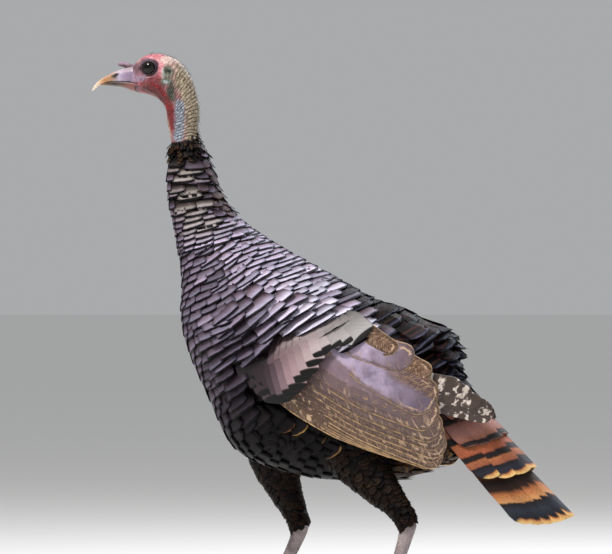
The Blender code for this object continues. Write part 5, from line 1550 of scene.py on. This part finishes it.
def legMaterial():
    # Leg scales: dry keratin plates, satin, grey-lilac with darker seams and a little dust.
    steps = (
        ("object", "TexCoord", {}, {}),
        # 2.4 mm across
        ("scales", "TexVoronoi", {"Scale": 420.0, "feature": "DISTANCE_TO_EDGE"}, {"Vector": "object"}),
        ("tone", "TexNoise", {"Scale": 90.0, "Detail": 4.0}, {"Vector": "object"}),
        ("colour", "ValToRGB", {"stops": ((0.28, "#5d5152"), (0.5, "#8a7c7e"), (0.72, "#a89a98"))}, {0: "tone"}),
        ("seam", "MapRange", {1: 0.0, 2: 0.08, 3: 0.75, 4: 0.0}, {0: "scales"}),
        ("colour", "Mix", {7: "#3b3031"}, {0: "seam", 6: "colour"}),
        ("raised", "MapRange", {1: 0.0, 2: 0.18}, {0: "scales"}),
    )
    return makeMaterial("scaled leg skin", {"Roughness": 0.48, "IOR": 1.5}, (), steps, ("raised", 0.45, 0.0006))


def clawMaterial():
    # Claw: smooth dark horn, worn paler at the tip.
    steps = (
        ("object", "TexCoord", {}, {}),
        ("grain", "TexNoise", {"Scale": 600.0, "Detail": 3.0}, {"Vector": "object"}),  # 1.7 mm streaks
        ("worn", "Math", {**timesPlus, 1: 0.3}, {0: "grain", 2: "toTip"}),
        ("colour", "ValToRGB", {"stops": ((0.0, "#2b2322"), (0.7, "#4a3d38"), (1.0, "#9b8b7c"))}, {0: "worn"}),
    )
    return makeMaterial("dark claw horn", {"Roughness": 0.30, "IOR": 1.54}, ("toTip",), steps, ("grain", 0.2, 0.0003))


# Bristles: the sparse dark hairs of the crown and nape

bristle = {"count": 560, "seed": 51, "from": 1.6, "to": 9.2, "spread": 0.95, "thickness": 0.00015,
           "length": (0.004, 0.0085), "lean": (0.25, 0.6), "eyeGap": 0.0135}


def growBristles(material):
    group = bpy.data.collections.new("bristle")
    t, k = tubeGrid(np.linspace(0, 1, 6), 4)
    size = 0.5 * (1 - 0.85 * t)
    points = np.stack([size * np.cos(k), t, 4 * t * (1 - t) + 0.4 * size * np.sin(k)], -1)
    hair = addPiece("bristle 1", points, tubeFaces(6, 4), {"bladeU": 0 * t, "bladeV": t, "band": t})
    faceOut(hair)
    moveTo(group, hair)
    rng = np.random.default_rng(bristle["seed"])
    place = rng.uniform(bristle["from"], bristle["to"], bristle["count"])
    angle = rng.normal(0, bristle["spread"], bristle["count"])
    here, along, _, out = frameAt(coatPoint, place, angle)
    ex, _, ez = head["eye"]
    free = np.hypot(here[:, 0] - ex, here[:, 2] - ez) > bristle["eyeGap"]
    here, along, out, place, angle = here[free], along[free], out[free], place[free], angle[free]
    length = rng.uniform(*bristle["length"], len(here))
    lean = rng.uniform(*bristle["lean"], len(here))
    aim = unit(unit(along) + out * lean[:, None] + rng.normal(0, 0.15, here.shape))
    face = unit(out - aim * np.sum(out * aim, axis=1, keepdims=True))
    size = np.stack([np.full(len(here), bristle["thickness"]), length, length * 0.10], -1)
    marks = {"rootU": (angle / (2 * math.pi) + 0.5) % 1.0, "rootV": place / 22.0, "tone": rng.random(len(here))}
    laid = {"root": here - out * 0.0006, "aim": aim, "face": face, "size": size}
    coat = growFeathers("bristles", laid, marks, group, material, {"Variation": 0.2, "Seed": 9})
    clearGroups([group])
    return coat


def bristleMaterial():
    # Bristles: fine dark keratin hairs with a soft gloss, no two quite as dark.
    steps = (
        ("object", "TexCoord", {}, {}),
        ("tone", "TexNoise", {"Scale": 300.0}, {"Vector": "object"}),  # 3 mm patches
        ("colour", "ValToRGB", {"stops": ((0.3, "#0d0a09"), (0.7, "#2e2420"))}, {0: "tone"}),
    )
    return makeMaterial("dark hair bristle", {"Roughness": 0.5, "IOR": 1.54}, (), steps)


# Camera, floor and light

stage = {"distance": 7.0, "azimuth": math.radians(10), "perPixel": 0.00125, "centre": (-0.0315, 0.44875),
         "width": 612}


def setStage():
    scene = bpy.context.scene
    a = stage["azimuth"]
    back, right = Vector((math.sin(a), -math.cos(a), 0)), Vector((math.cos(a), math.sin(a), 0))
    camera = bpy.data.objects.new("camera", bpy.data.cameras.new("camera"))
    scene.collection.objects.link(camera)
    camera.data.sensor_width = 36
    camera.data.lens = 36 * stage["distance"] / (stage["width"] * stage["perPixel"] * 0.992)
    camera.location = back * stage["distance"] + right * stage["centre"][0] + Vector((0, 0, stage["centre"][1]))
    camera.rotation_mode = "QUATERNION"
    camera.rotation_quaternion = (-back).to_track_quat("-Z", "Y")
    camera.data.clip_end = 100
    scene.camera = camera

    material = makeMaterial("pale studio floor", {"Roughness": 0.9, "Base Color": hexColour("#f4f3f1")}, (), ())
    turns = np.arange(96) / 96 * 2 * math.pi
    points = [(r * math.cos(t), r * math.sin(t), 0.0) for r in (0.6, 4.0, 60.0) for t in turns]
    faces = [(i + 96, i + (j + 1) % 96 - j + 96, i + (j + 1) % 96 - j, i)
             for i, j in ((m * 96 + n, n) for m in range(2) for n in range(96))]
    floor = addPiece("floor", points, faces + [tuple(range(96))], None, material)
    floor.data.shade_flat()

    scene.view_settings.view_transform = "Standard"
    world = bpy.data.worlds.new("studio")
    scene.world = world
    world.use_nodes = True
    world.node_tree.nodes["Background"].inputs[0].default_value = hexColour("#e6e8ea")
    world.node_tree.nodes["Background"].inputs[1].default_value = 0.5
    target = Vector((-0.02, 0, 0.42))
    for name, spot, size, power, colour in (("key", (-1.1, -1.5, 3.3), 0.9, 130, "#fffaf6"),
                                            ("fill", (2.4, -2.4, 1.2), 2.2, 12, "#e8f0ff"),
                                            ("rim", (0.9, 1.9, 2.4), 1.5, 55, "#f4f7ff")):
        light = bpy.data.lights.new(name, "AREA")
        light.size, light.energy, light.color = size, power, hexColour(colour)[:3]
        lamp = bpy.data.objects.new(name, light)
        lamp.location = spot
        lamp.rotation_euler = (Vector(spot) - target).to_track_quat("Z", "Y").to_euler()
        scene.collection.objects.link(lamp)


def assign(piece, slot, *nodes):  # the body that a piece rides on, and the nodes that it replaces; slot is not used
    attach(piece, "root")
    if nodes:
        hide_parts(*nodes)


def makeTurkey():
    setStage()
    print("stage set")
    skin = buildSkin(skinMaterial())
    print(f"skin: {len(skin.data.polygons)} faces")
    assign(skin, "skin", "head", "neck_upper", "neck_lower", "torso", "thigh_left", "thigh_right", "snood", "tail")
    for piece, node in zip(growBill(billMaterial()), ("bill_upper", "bill_lower")):
        assign(piece, "horn", node)
    for side, eye, lid in growEyes(eyeMaterial(), lidMaterial()):
        assign(eye, "eye", "eye_" + side)
        assign(lid, "skin")
    for side, leg, claws in growLegs(legMaterial(), clawMaterial()):
        assign(leg, "scale", f"shank_{side}", *[f"toe_{side}_{toe[0]}" for toe in toes])
        assign(claws, "horn", *[f"claw_{side}_{toe[0]}" for toe in toes])
    print("bill, eyes and feet made")
    for piece in growCoat():
        assign(piece, "plumage")
    materials = {"primary": primaryMaterial(), "secondary": secondaryMaterial(), "greatCovert": covertMaterial()}
    for side in ("left", "right"):
        for piece in growWing(side, materials):
            assign(piece, "wing", "wing_" + side)
    for piece in growTail(tailMaterial()):
        assign(piece, "plumage", "tail")
    assign(growBristles(bristleMaterial()), "plumage")


makeTurkey()
